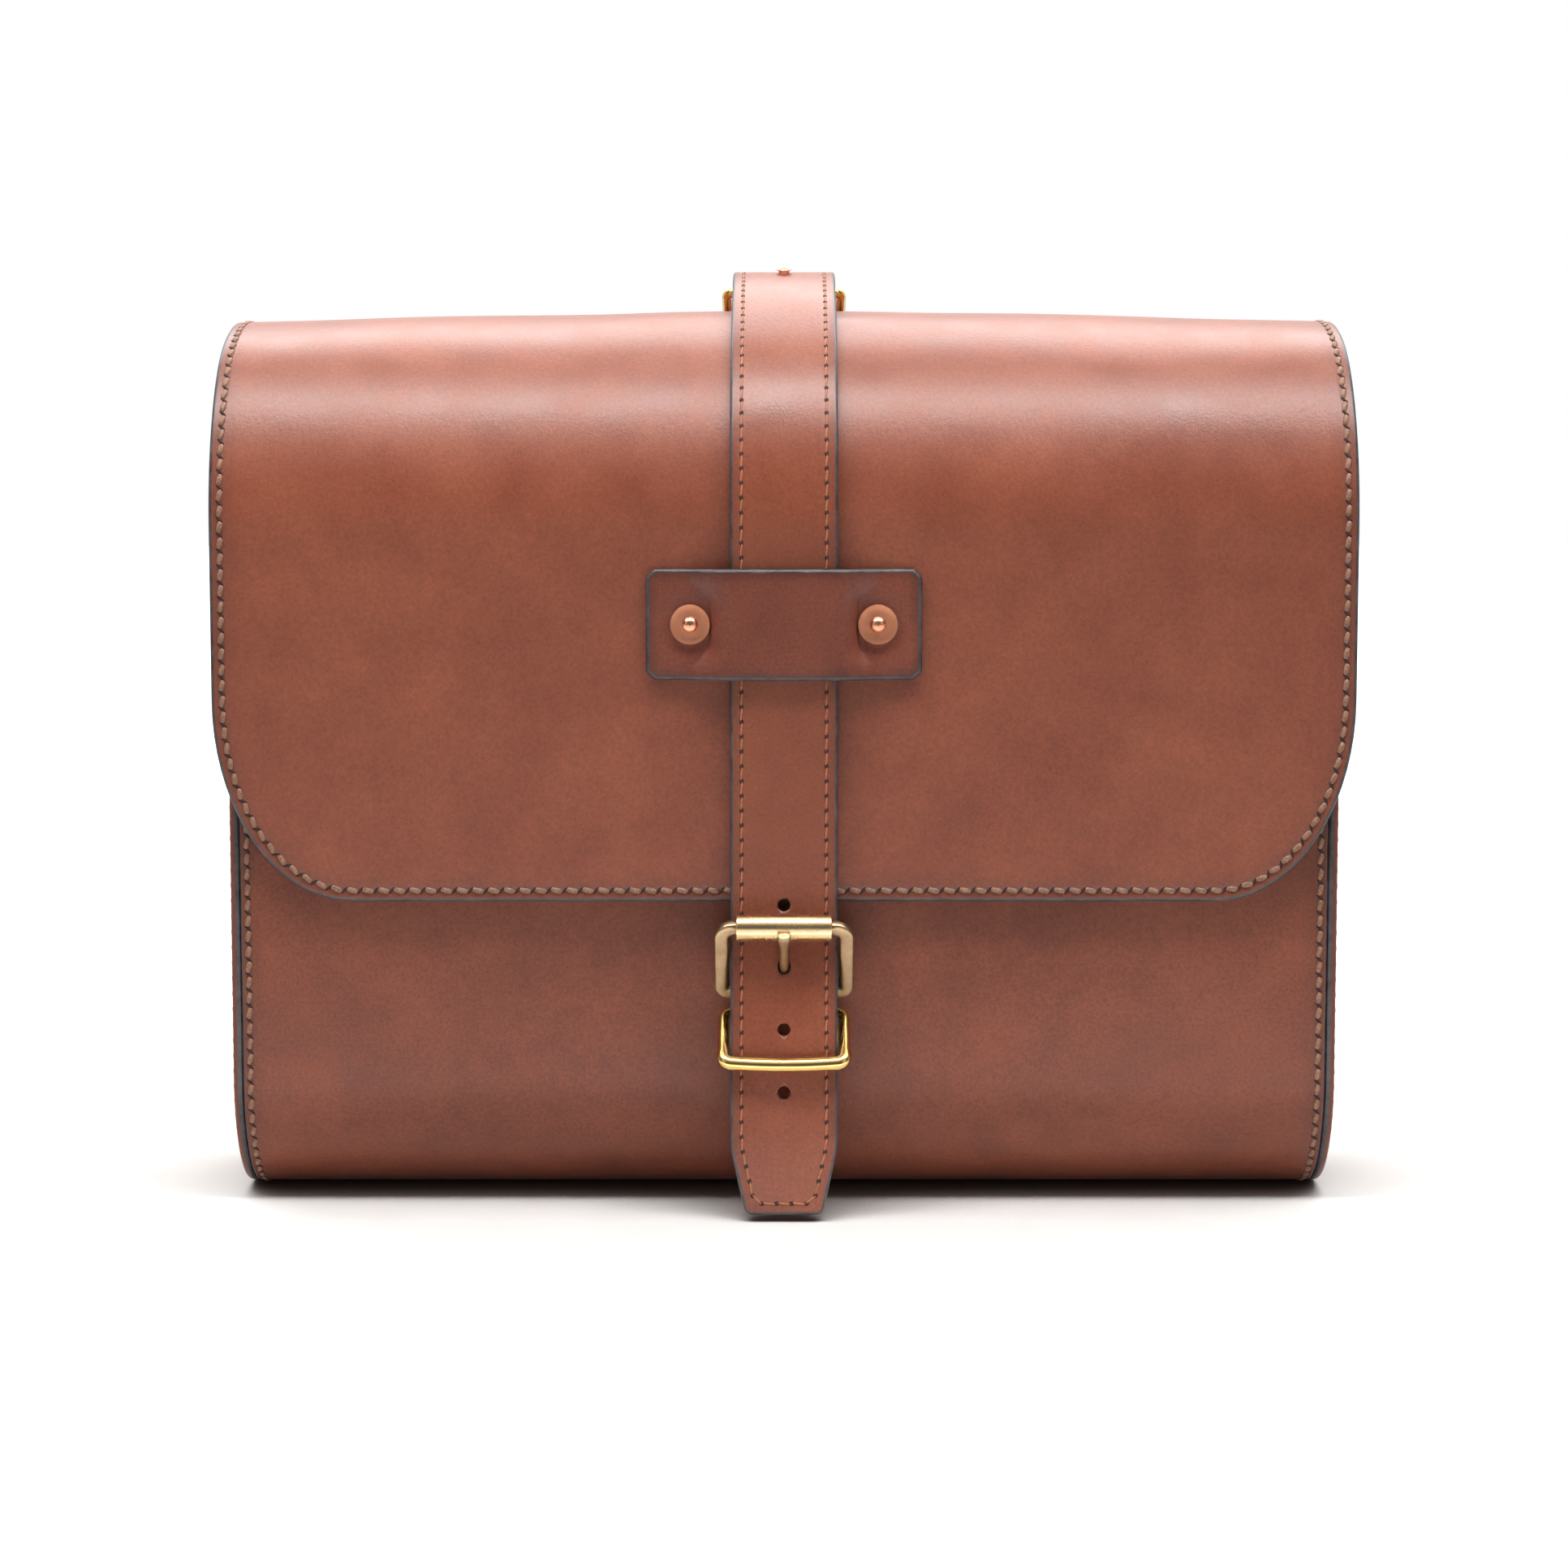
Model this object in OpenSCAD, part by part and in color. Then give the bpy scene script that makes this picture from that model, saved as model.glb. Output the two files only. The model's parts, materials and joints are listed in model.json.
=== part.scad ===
// Leather satchel with a wrap body, side gussets, a lined flap and one centre strap.
// The strap is folded round a brass ring on the top back edge, passes under a riveted
// retainer on the flap, through a roller buckle and a brass keeper, and hangs to the floor.
// Origin: centre of the base on the floor. +Z is up and the front faces -Y.

/* [Body] */
// Width of the body across the gussets
body_w = 333; // [260:1:380]
// Depth of the body, front to back
body_d = 92; // [86:1:110]
// Height of the closed bag without the strap
body_h = 270; // [240:1:300]
// Outer radius of the rounded bottom edges
bottom_r = 38; // [20:1:40]
// Thickness of the body leather
wrap_t = 3; // [2:0.1:4]
// Thickness of the side gussets
gusset_t = 2.8; // [2:0.1:4]

/* [Flap] */
// How far the flap overhangs each gusset
flap_overhang = 4; // [1:0.5:8]
// Height of the flap's lower edge above the floor
flap_edge_z = 93; // [91:1:100]
// Radius of the flap's rounded front shoulder
shoulder_r = 65; // [45:1:70]
// Width of each rounded lower corner of the flap
corner_w = 41; // [15:1:60]
// Height of each rounded lower corner of the flap
corner_h = 60; // [15:1:65]
// Thickness of the flap's outer leather
flap_t = 2.2; // [1.6:0.1:2.6]
// Thickness of the flap's lining
lining_t = 1.6; // [1:0.1:1.8]

/* [Strap] */
// Width of the strap
strap_w = 32; // [26:0.5:32]
// Thickness of the strap's outer leather
strap_t = 2.4; // [1.8:0.1:2.4]
// Thickness of the strap's lining
strap_lining_t = 2; // [1.4:0.1:2]
// Width of the strap's cut tip
tip_w = 23; // [16:0.5:24]
// Length of the taper to the tip
taper_len = 20; // [12:1:30]
// Distance between the strap's adjusting holes
hole_pitch = 18.3; // [17:0.1:19]
// Diameter of the adjusting holes
hole_dia = 3.8; // [3:0.1:4.4]

/* [Retainer] */
// Width of the leather retainer over the strap
retainer_w = 82; // [76:1:90]
// Height of the leather retainer
retainer_h = 33; // [24:1:36]
// Thickness of the retainer leather
retainer_t = 2.6; // [2:0.1:3]
// Distance between the two retainer rivets
rivet_gap = 55.6; // [54:0.2:60]
// Height of the retainer's centre above the floor
retainer_z = 176; // [165:1:180]

/* [Hardware] */
// Outside width of the buckle frame
buckle_w = 41.6; // [40:0.1:44]
// Diameter of the buckle's roller
roller_dia = 7.8; // [7:0.1:8]
// Diameter of the buckle prong
prong_dia = 3; // [2.4:0.1:3.2]
// Wire diameter of the keeper and of the top ring
ring_wire = 3.2; // [2.6:0.1:3.2]
// Diameter of the rivet washers
burr_dia = 12; // [9:0.2:12]

/* [Hidden] */
$fn = 64;
arc_n = 14;
fit_gap = 0.05;
cut_len = 60;
leather = "saddlebrown";
brass = "goldenrod";
copper = "darksalmon";

// Body outline: the wrap and the gussets share it.
front_y = -body_d / 2;
back_y = body_d / 2;
wrap_w = body_w - 2 * gusset_t;
back_corner_r = 15;
flap_total_t = flap_t + lining_t;

// Flap: its outer face stands off the body's front by the leather and the rivet heads.
flap_gap = 1.6;
flap_front_y = front_y - flap_gap - flap_total_t;
flap_r = shoulder_r + 0.4;
shoulder_y = flap_front_y + flap_r;
shoulder_z = body_h - flap_r;
flap_w = body_w + 2 * flap_overhang;
corner_y = back_y + flap_total_t + 0.1 - back_corner_r;
corner_z = body_h - back_corner_r;
flap_start_a = 75;
flap_back_a = 44;
flap_back_z = corner_z - 50;

// Gusset: follows the inside of the closed flap.
gusset_gap = 2;
gusset_r = flap_r - flap_total_t - flap_gap;
gusset_top = body_h - flap_total_t - gusset_gap;
gusset_back_r = 10;
front_top_z = gusset_top - gusset_r;
back_top_z = gusset_top - gusset_back_r;

// Rivets
shank_r = 1.7;
head_r = 4.5;
head_t = 0.9;
dome_r = 2.4;
dome_h = 1.4;
burr_t = 1;

// Buckle: the lower bar turns in the front chape, the roller bar stands in front of the strap.
bar_r = 2;
wall = 1.9;
buckle_bar = [front_y - 5, 66];
roller_bar = [flap_front_y - 9.7, 86.3];
roller_r = roller_dia / 2;
roller_bar_r = 2;
roller_len = 28.4;
shoulder_x = roller_len / 2 + 0.2;
frame_in = 33;
frame_t = 3.6;
frame_len = norm(roller_bar - buckle_bar);
frame_tilt = atan2(buckle_bar.x - roller_bar.x, roller_bar.y - buckle_bar.y);
prong_r = prong_dia / 2;
prong_len = 24.5;
prong_clear = 0.12;
prong_tilt = frame_tilt + asin((roller_r + prong_r + prong_clear) / frame_len);
prong_hub_r = bar_r + 1.4;
prong_hub_w = 4.2;
prong_slot_w = 5;
prong_hole_gap = 0.35;

// Keeper and top ring: two bars joined by bent sides.
ring_r = ring_wire / 2;
ring_in = 33;
ring_bend = 3;
keeper_bar = [front_y - 4.6, 59.6];
keeper_front = [front_y - 19.6, 46.6];
top_hinge = [back_y + 2.2, body_h - 1.6];
top_front = [28, body_h + 7.5];

// Chapes
chape_w = 28;
chape_t = 4.4;
front_chape_z = 22;
front_rivet_z = bottom_r + head_r + 0.5;
back_chape_t = 3.6;
back_chape_z = 226;
back_rivet_z = 237;
back_rivet_x = 8;

// Strap: the path of its underside, from the return under the ring bar to the tip.
strap_total_t = strap_t + strap_lining_t;
fold_r = ring_r + 0.3;
return_y = 10;
strap_lift = 0.2;
strap_r = flap_r + strap_lift;
strap_y = flap_front_y - strap_lift;
crest = [8, top_front.y + fold_r];
crest_off = crest - [shoulder_y, shoulder_z];
meet_a = atan2(crest_off.y, crest_off.x) + acos(strap_r / norm(crest_off));
bend_z = 91.5;
bend_reach = 10;
leave_z = bend_z + bend_reach;
lean_z = bend_z - bend_reach;
tip_z = 1.2;
lean = 15 / 94;
strap_rivet_y = 18.5;
prong_hole_z = 74.2;

// Points of an arc, both ends included.
function arc(c, r, a0, a1) =
    [for (i = [0:arc_n]) let (a = a0 + (a1 - a0) * i / arc_n) c + r * [cos(a), sin(a)]];
// Points of a quadratic curve from p to s with its control at q, both ends left out.
function bend(p, q, s, n) =
    [for (i = [1:n - 1]) let (t = i / n) p * pow(1 - t, 2) + q * 2 * t * (1 - t) + s * t * t];
// Points of a straight line, without its start.
function run(p, q, n) = [for (i = [1:n]) p + (q - p) * i / n];
function reversed(p) = [for (i = [len(p) - 1:-1:0]) p[i]];
function heading(p, i) =
    let (d = p[min(i + 1, len(p) - 1)] - p[max(i - 1, 0)])
    d / norm(d);
// The line p moved sideways by d, and the closed outline between two such lines.
function shifted(p, d) = [for (i = [0:len(p) - 1]) p[i] + d * [heading(p, i).y, -heading(p, i).x]];
function sheet(p, near, far) = concat(shifted(p, near), reversed(shifted(p, far)));

// Outer line of the body wrap, from the front top, under the base, to the back top.
function wrap_line(inset) = concat(
    [[front_y + inset, front_top_z]],
    arc([front_y + bottom_r, bottom_r], bottom_r - inset, 180, 270),
    arc([back_y - bottom_r, bottom_r], bottom_r - inset, 270, 360),
    [[back_y - inset, back_top_z]]);

// Line of the flap, from its lower edge over the shoulder to the fold at the back.
function flap_line(inset) = concat(
    [[flap_front_y + inset, flap_edge_z]],
    arc([shoulder_y, shoulder_z], flap_r - inset, 180, 90),
    arc([corner_y, corner_z], back_corner_r - inset, 90, flap_start_a));

function flap_back_line(inset) = concat(
    arc([corner_y, corner_z], back_corner_r - inset, flap_back_a, 0),
    [[corner_y + back_corner_r - inset, flap_back_z]]);

// Underside of the strap, from the end of its return, round the ring bar and down to the tip.
meet = [shoulder_y, shoulder_z] + strap_r * [cos(meet_a), sin(meet_a)];
lean_top = [strap_y - lean * (bend_z - lean_z), lean_z];
tip = [strap_y - lean * (bend_z - tip_z), tip_z];
strap_line = concat(
    [[return_y, top_front.y - fold_r]],
    arc(top_front, fold_r, -90, 90),
    bend(top_front + [0, fold_r], crest, meet, 12),
    arc([shoulder_y, shoulder_z], strap_r, meet_a, 180),
    run([strap_y, shoulder_z], [strap_y, leave_z], 3),
    bend([strap_y, leave_z], [strap_y, bend_z], lean_top, 5),
    [lean_top],
    run(lean_top, tip, 4));

// Draws a front-to-back, up-and-down outline and extrudes it across the bag.
module across(w) {
    rotate([90, 0, 90])
        linear_extrude(w, center = true)
            children();
}

// A cylinder across the bag, centred on a point of the side view.
module cross_bar(p, r, len) {
    translate([0, p.x, p.y])
        rotate([0, 90, 0])
            cylinder(h = len, r = r, center = true);
}

// A hole from front to back.
module hole_y(x, y, z, r) {
    translate([x, y, z])
        rotate([90, 0, 0])
            cylinder(h = cut_len, r = r, center = true);
}

// A copper rivet along +Z: flat head below z = 0, peened dome above the grip.
module rivet(grip) {
    ball_r = (dome_r * dome_r + dome_h * dome_h) / (2 * dome_h);
    translate([0, 0, -head_t])
        cylinder(h = head_t, r = head_r);
    cylinder(h = grip, r = shank_r);
    intersection() {
        translate([0, 0, grip + dome_h - ball_r])
            sphere(r = ball_r);
        translate([0, 0, grip])
            cylinder(h = dome_h * 2, r = dome_r * 2);
    }
}

// A copper washer on the far face of the leather, along +Z.
module burr() {
    difference() {
        cylinder(h = burr_t, r = burr_dia / 2);
        cylinder(h = cut_len, r = shank_r + fit_gap, center = true);
    }
}

module facing_front(x, y, z) {
    translate([x, y, z])
        rotate([90, 0, 0])
            children();
}

module facing_back(x, y, z) {
    translate([x, y, z])
        rotate([-90, 0, 0])
            children();
}

// A rectangular wire ring with bent corners, between two bars of the side view.
module wire_ring(p, q) {
    side_x = ring_in / 2 + ring_r;
    straight_x = side_x - ring_bend;
    span = norm(q - p);
    straight_z = span - 2 * ring_bend;
    translate([0, p.x, p.y])
        rotate([90 - atan2(q.y - p.y, p.x - q.x), 0, 0]) {
            for (z = [0, span])
                translate([-straight_x, 0, z])
                    rotate([0, 90, 0])
                        cylinder(h = 2 * straight_x, r = ring_r);
            for (s = [-1, 1])
                translate([s * side_x, 0, ring_bend])
                    cylinder(h = straight_z, r = ring_r);
            for (turn = [[1, 0, 0], [-1, 0, 90], [-1, straight_z, 180], [1, straight_z, 270]])
                translate([turn[0] * straight_x, 0, ring_bend + turn[1]])
                    rotate([0, turn[2], 0])
                        rotate([90, 0, 0])
                            rotate([0, 0, -90])
                                rotate_extrude(angle = 90)
                                    translate([ring_bend, 0])
                                        circle(r = ring_r);
        }
}

module body_wrap() {
    color(leather)
        difference() {
            across(wrap_w)
                polygon(concat(wrap_line(0), reversed(wrap_line(wrap_t))));
            hole_y(0, front_y, front_rivet_z, shank_r + fit_gap);
            for (s = [-1, 1])
                hole_y(s * back_rivet_x, back_y, back_rivet_z, shank_r + fit_gap);
        }
}

module gusset(side) {
    color(leather)
        translate([side * (body_w - gusset_t) / 2, 0, 0])
            across(gusset_t)
                polygon(concat(
                    wrap_line(0),
                    arc([back_y - gusset_back_r, back_top_z], gusset_back_r, 0, 90),
                    arc([front_y + gusset_r, front_top_z], gusset_r, 90, 180)));
}

// Front view of the flap: straight sides and rounded lower corners.
module flap_outline() {
    half = flap_w / 2;
    low = [for (i = [0:arc_n]) let (a = 90 * i / arc_n)
        [half - corner_w * (1 - cos(a)), flap_edge_z + corner_h * (1 - sin(a))]];
    mirrored = [for (p = reversed(low)) [-p.x, p.y]];
    polygon(concat([[half, body_h * 2]], low, mirrored, [[-half, body_h * 2]]));
}

module flap_layer(near, far) {
    difference() {
        intersection() {
            across(flap_w)
                polygon(concat(flap_line(near), reversed(flap_line(far))));
            rotate([90, 0, 0])
                linear_extrude(body_d * 3, center = true)
                    flap_outline();
        }
        for (s = [-1, 1])
            hole_y(s * rivet_gap / 2, flap_front_y, retainer_z, shank_r + fit_gap);
    }
}

module flap_outer() {
    color(leather)
        flap_layer(0, flap_t);
}

module flap_lining() {
    color("sienna")
        flap_layer(flap_t, flap_total_t);
}

// The end of the flap leather that is stitched to the back panel.
module flap_back() {
    color(leather)
        difference() {
            across(flap_w)
                polygon(concat(flap_back_line(0), reversed(flap_back_line(flap_total_t))));
            for (s = [-1, 1])
                hole_y(s * back_rivet_x, back_y, back_rivet_z, shank_r + fit_gap);
        }
}

// Front view of the strap, wide enough at the top to keep the whole strap above the taper.
module strap_outline() {
    half = strap_w / 2;
    polygon([[half, body_h * 2], [half, taper_len], [tip_w / 2, 0], [-tip_w / 2, 0], [-half, taper_len],
        [-half, body_h * 2]]);
}

module strap_layer(near, far) {
    difference() {
        intersection() {
            across(strap_w)
                polygon(sheet(strap_line, near, far));
            rotate([90, 0, 0])
                linear_extrude(body_d * 3, center = true)
                    strap_outline();
        }
        for (i = [-1, 1, 2])
            translate([0, flap_front_y, prong_hole_z - i * hole_pitch])
                rotate([90, 0, 0])
                    cylinder(h = cut_len, r = hole_dia / 2);
        translate([0, buckle_bar.x, buckle_bar.y])
            rotate([prong_tilt, 0, 0])
                cylinder(h = cut_len, r = prong_r + prong_hole_gap);
        translate([0, strap_rivet_y, 0])
            cylinder(h = body_h * 2, r = shank_r + fit_gap);
    }
}

module strap_outer() {
    color(leather)
        strap_layer(strap_lining_t, strap_total_t);
}

module strap_lining() {
    color("sienna")
        strap_layer(0, strap_lining_t);
}

// The retainer bridges the strap and lies flat on the flap at both ends. Its outer face is
// mitred at each bend, so that the leather keeps its thickness.
retainer_clip = 2.6;
retainer_rise_x = strap_w / 2 + 0.6;
retainer_flat_x = strap_w / 2 + 4.2;
retainer_lift = strap_total_t + strap_lift + 0.3;
retainer_miter = retainer_t * tan(atan2(retainer_lift, retainer_flat_x - retainer_rise_x) / 2);

function retainer_side(offset, miter) = [
    [retainer_rise_x + miter, retainer_lift + offset],
    [retainer_flat_x + miter, offset],
    [retainer_w / 2, offset]];

function both_sides(right) = concat([for (p = reversed(right)) [-p.x, p.y]], right);

module retainer_outline() {
    x = retainer_w / 2;
    z = retainer_h / 2;
    polygon([
        [x - retainer_clip, z], [x, z - retainer_clip],
        [x, -z + retainer_clip], [x - retainer_clip, -z],
        [-x + retainer_clip, -z], [-x, -z + retainer_clip],
        [-x, z - retainer_clip], [-x + retainer_clip, z]]);
}

module retainer() {
    color(leather)
        difference() {
            intersection() {
                translate([0, flap_front_y, retainer_z - retainer_h / 2])
                    mirror([0, 1, 0])
                        linear_extrude(retainer_h)
                            polygon(concat(
                                both_sides(retainer_side(0, 0)),
                                reversed(both_sides(retainer_side(retainer_t, retainer_miter)))));
                translate([0, flap_front_y, retainer_z])
                    rotate([90, 0, 0])
                        linear_extrude(cut_len, center = true)
                            retainer_outline();
            }
            for (s = [-1, 1])
                hole_y(s * rivet_gap / 2, flap_front_y, retainer_z, shank_r + fit_gap);
        }
}

module retainer_rivets() {
    color(copper)
        for (s = [-1, 1])
            facing_front(s * rivet_gap / 2, flap_front_y + flap_total_t, retainer_z)
                rivet(flap_total_t + retainer_t + burr_t);
}

module retainer_burrs() {
    color(copper)
        for (s = [-1, 1])
            facing_front(s * rivet_gap / 2, flap_front_y - retainer_t, retainer_z)
                burr();
}

// Strap rivet: through the folded strap beside the top ring.
strap_low_z = top_front.y - fold_r - strap_total_t;
strap_high_z = top_front.y + fold_r + strap_total_t;

module strap_rivet() {
    color(copper)
        translate([0, strap_rivet_y, strap_low_z])
            rivet(strap_high_z - strap_low_z);
}

// The front chape holds the buckle bar and the keeper's back bar in two loops.
module front_chape() {
    loop_r = bar_r + wall;
    keeper_loop_r = ring_r + wall;
    color(leather)
        difference() {
            across(chape_w)
                union() {
                    translate(buckle_bar)
                        circle(r = loop_r);
                    translate(keeper_bar)
                        circle(r = keeper_loop_r);
                    polygon([
                        [front_y - 0.1, front_chape_z],
                        [front_y - 0.1, buckle_bar.y - 1],
                        buckle_bar,
                        keeper_bar,
                        [keeper_bar.x - keeper_loop_r + 0.4, keeper_bar.y - 1.4],
                        [front_y - chape_t, keeper_bar.y - 8],
                        [front_y - chape_t, front_chape_z]]);
                }
            cross_bar(buckle_bar, bar_r + fit_gap, cut_len);
            cross_bar(keeper_bar, ring_r + fit_gap, cut_len);
            translate([-prong_slot_w / 2, buckle_bar.x - 10, buckle_bar.y - prong_hub_r - 0.2])
                cube([prong_slot_w, 10 + prong_hub_r + 1, 10]);
            hole_y(0, front_y, front_rivet_z, shank_r + fit_gap);
        }
}

module front_chape_rivet() {
    color(copper)
        facing_front(0, front_y + wrap_t, front_rivet_z)
            rivet(wrap_t + chape_t + burr_t);
}

module front_chape_burr() {
    color(copper)
        facing_front(0, front_y - chape_t, front_rivet_z)
            burr();
}

// Front view of the buckle frame, from the lower bar at v = 0 up to the roller bar.
module frame_outline() {
    half = buckle_w / 2;
    top_r = 5;
    low_r = 2.2;
    rise = frame_len + roller_bar_r + 0.2;
    // Blocks between the rails and the roller's ends.
    for (s = [-1, 1])
        translate([s * (shoulder_x + frame_in / 2) / 2, frame_len])
            square([frame_in / 2 - shoulder_x + 0.2, 2 * roller_bar_r + 0.4], center = true);
    difference() {
        union() {
            for (s = [-1, 1]) {
                translate([s * (half - top_r), rise - top_r])
                    circle(r = top_r);
                translate([s * (half - low_r), 0])
                    circle(r = low_r);
            }
            translate([-half + top_r, 0])
                square([2 * (half - top_r), rise]);
            translate([-half, 0])
                square([2 * half, rise - top_r]);
            translate([-half + low_r, -low_r])
                square([2 * (half - low_r), low_r + 1]);
        }
        translate([-frame_in / 2, -low_r * 2])
            square([frame_in, frame_len * 2]);
    }
}

module buckle_frame() {
    color(brass) {
        cross_bar(buckle_bar, bar_r, frame_in + 1);
        cross_bar(roller_bar, roller_bar_r, frame_in + 1);
        translate([0, buckle_bar.x, buckle_bar.y])
            rotate([90 + frame_tilt, 0, 0])
                linear_extrude(frame_t, center = true)
                    frame_outline();
    }
}

module buckle_roller() {
    color(brass)
        difference() {
            cross_bar(roller_bar, roller_r, roller_len);
            cross_bar(roller_bar, roller_bar_r + fit_gap, cut_len);
        }
}

module buckle_prong() {
    color(brass)
        difference() {
            union() {
                cross_bar(buckle_bar, prong_hub_r, prong_hub_w);
                translate([0, buckle_bar.x, buckle_bar.y])
                    rotate([prong_tilt, 0, 0]) {
                        cylinder(h = prong_len, r = prong_r);
                        translate([0, 0, prong_len])
                            sphere(r = prong_r);
                    }
            }
            cross_bar(buckle_bar, bar_r + fit_gap, cut_len);
        }
}

module keeper_ring() {
    color(brass)
        wire_ring(keeper_bar, keeper_front);
}

module top_ring() {
    color(brass)
        wire_ring(top_hinge, top_front);
}

// The back chape loops round the top ring's rear bar and lies down the back panel.
module back_chape() {
    loop_r = ring_r + wall;
    r_in = back_corner_r + 0.1;
    c = [corner_y, corner_z];
    loop_a = atan2(top_hinge.y - c.y, top_hinge.x - c.x);
    inner = concat(arc(c, r_in, loop_a, 0), [[c.x + r_in, back_chape_z]]);
    outer = concat(arc(c, r_in + back_chape_t, loop_a, 0), [[c.x + r_in + back_chape_t, back_chape_z]]);
    color(leather)
        difference() {
            across(chape_w)
                union() {
                    polygon(concat(inner, reversed(outer)));
                    translate(top_hinge)
                        circle(r = loop_r);
                }
            cross_bar(top_hinge, ring_r + fit_gap, cut_len);
            for (s = [-1, 1])
                hole_y(s * back_rivet_x, back_y, back_rivet_z, shank_r + fit_gap);
        }
}

back_chape_face = corner_y + back_corner_r + 0.1 + back_chape_t;

module back_chape_rivets() {
    color(copper)
        for (s = [-1, 1])
            facing_back(s * back_rivet_x, back_y - wrap_t, back_rivet_z)
                rivet(back_chape_face - back_y + wrap_t + burr_t);
}

module back_chape_burrs() {
    color(copper)
        for (s = [-1, 1])
            facing_back(s * back_rivet_x, back_chape_face, back_rivet_z)
                burr();
}

body_wrap();
gusset(-1);  // gusset_left
gusset(1);  // gusset_right
flap_back();
flap_outer();
flap_lining();
strap_outer();
strap_lining();
retainer();
retainer_rivets();
retainer_burrs();
strap_rivet();
front_chape();
front_chape_rivet();
front_chape_burr();
buckle_frame();
buckle_roller();
buckle_prong();
keeper_ring();
back_chape();
back_chape_rivets();
back_chape_burrs();
top_ring();
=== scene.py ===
"""Looks of the leather satchel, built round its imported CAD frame. Metres throughout."""
import json
import math

import bmesh
import bpy
import numpy as np
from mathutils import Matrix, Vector


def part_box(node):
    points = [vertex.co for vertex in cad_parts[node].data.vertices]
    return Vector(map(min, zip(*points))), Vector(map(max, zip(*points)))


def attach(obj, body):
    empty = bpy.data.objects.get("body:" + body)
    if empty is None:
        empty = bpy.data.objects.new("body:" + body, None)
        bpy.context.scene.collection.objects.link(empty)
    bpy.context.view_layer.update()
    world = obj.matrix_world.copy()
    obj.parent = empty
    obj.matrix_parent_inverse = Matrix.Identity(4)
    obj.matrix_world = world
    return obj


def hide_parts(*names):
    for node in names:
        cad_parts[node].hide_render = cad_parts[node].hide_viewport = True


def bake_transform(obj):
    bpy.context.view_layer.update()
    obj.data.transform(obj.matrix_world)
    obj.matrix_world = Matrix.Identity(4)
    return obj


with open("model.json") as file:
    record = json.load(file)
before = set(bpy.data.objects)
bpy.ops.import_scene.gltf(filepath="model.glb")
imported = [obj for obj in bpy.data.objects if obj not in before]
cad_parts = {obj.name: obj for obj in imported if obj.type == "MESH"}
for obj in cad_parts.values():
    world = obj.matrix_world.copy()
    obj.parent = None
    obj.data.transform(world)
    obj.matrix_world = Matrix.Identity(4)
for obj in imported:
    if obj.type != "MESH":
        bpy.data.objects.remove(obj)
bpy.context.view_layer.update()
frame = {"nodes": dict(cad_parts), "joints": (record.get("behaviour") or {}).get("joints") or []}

MM = 0.001

# ---- sizes from the frame
wrap_lo, wrap_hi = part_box("body_wrap")
gusset_lo, gusset_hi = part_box("gusset_right")
flap_lo, flap_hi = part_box("flap_outer")
lining_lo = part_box("flap_lining")[0]
fold_lo, fold_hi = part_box("flap_back")
strap_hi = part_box("strap_outer")[1]
retainer_lo, retainer_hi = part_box("retainer")
chape_lo, chape_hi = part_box("front_chape")
back_chape_lo, back_chape_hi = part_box("back_chape")

joints = {j["name"]: Vector(j["pos_m"]) for j in frame["joints"]}
buckle_bar = joints["buckle_swing"]
roller_bar = joints["roller_spin"]
keeper_bar = joints["keeper_swing"]
ring_bar = joints["flap_hinge"]

# Body outline
front_y, back_y = wrap_lo.y, wrap_hi.y
wrap_t = 3 * MM
bottom_r = 38 * MM
gusset_t = gusset_hi.x - gusset_lo.x
gusset_r = 60 * MM
gusset_back_r = 10 * MM

# Flap
flap_half = flap_hi.x
flap_t = lining_lo.y - flap_lo.y
lining_t = 1.6 * MM
shoulder_r = 65.4 * MM
shoulder = (flap_lo.y + shoulder_r, flap_hi.z - shoulder_r)
fold_r = 15 * MM
fold = (fold_hi.y - fold_r, flap_hi.z - fold_r)
corner_w = 41 * MM
corner_h = 60 * MM

# Strap: its path repeats the CAD strap's underside.
strap_half = strap_hi.x
strap_lining_t = 2 * MM
strap_outer_t = 2.4 * MM
strap_gap = 0.2 * MM
tip_half = 11.5 * MM
taper_len = 20 * MM
tip_z = 1.2 * MM
return_y = 10 * MM
ring_front = (28 * MM, flap_hi.z + 7.5 * MM)
ring_wire_r = 1.6 * MM
loop_r = ring_wire_r + 0.3 * MM
bend_z = 91.5 * MM
bend_reach = 10 * MM
lean = 15 / 94
stitch_start = 26 * MM
prong_hole_z = 74.2 * MM
hole_pitch = 18.3 * MM
hole_r = 1.9 * MM

# Buckle and keeper. The prong lies just off the roller.
cross_bar_r = 2 * MM
prong_r = 1.5 * MM
prong_clear = 0.12 * MM
prong_hole_gap = 0.35 * MM
prong_hub_r = 3.4 * MM
roller_r = 3.9 * MM
prong_tilt = math.atan2(buckle_bar.y - roller_bar.y, roller_bar.z - buckle_bar.z)
prong_tilt += math.asin((roller_r + prong_r + prong_clear) / math.dist(buckle_bar, roller_bar))
prong_way = Vector((0, -math.sin(prong_tilt), math.cos(prong_tilt)))


# ---- lines in the side view
def on_circle(centre, radius, degrees):
    """A point of a circle in the (y, z) view."""
    a = np.radians(degrees)
    return centre[0] + radius * math.cos(a), centre[1] + radius * math.sin(a)


def arc(centre, radius, start, end, count=24):
    """Points of an arc in the (y, z) view, angles in degrees."""
    return [on_circle(centre, radius, a) for a in np.linspace(start, end, count + 1)]


def bezier(p, q, s, count=16):
    """Points of a quadratic curve from p to s, pulled towards q."""
    p, q, s = np.array(p), np.array(q), np.array(s)
    return [tuple(p * (1 - t) ** 2 + q * 2 * t * (1 - t) + s * t * t) for t in np.linspace(0, 1, count + 1)]


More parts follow.
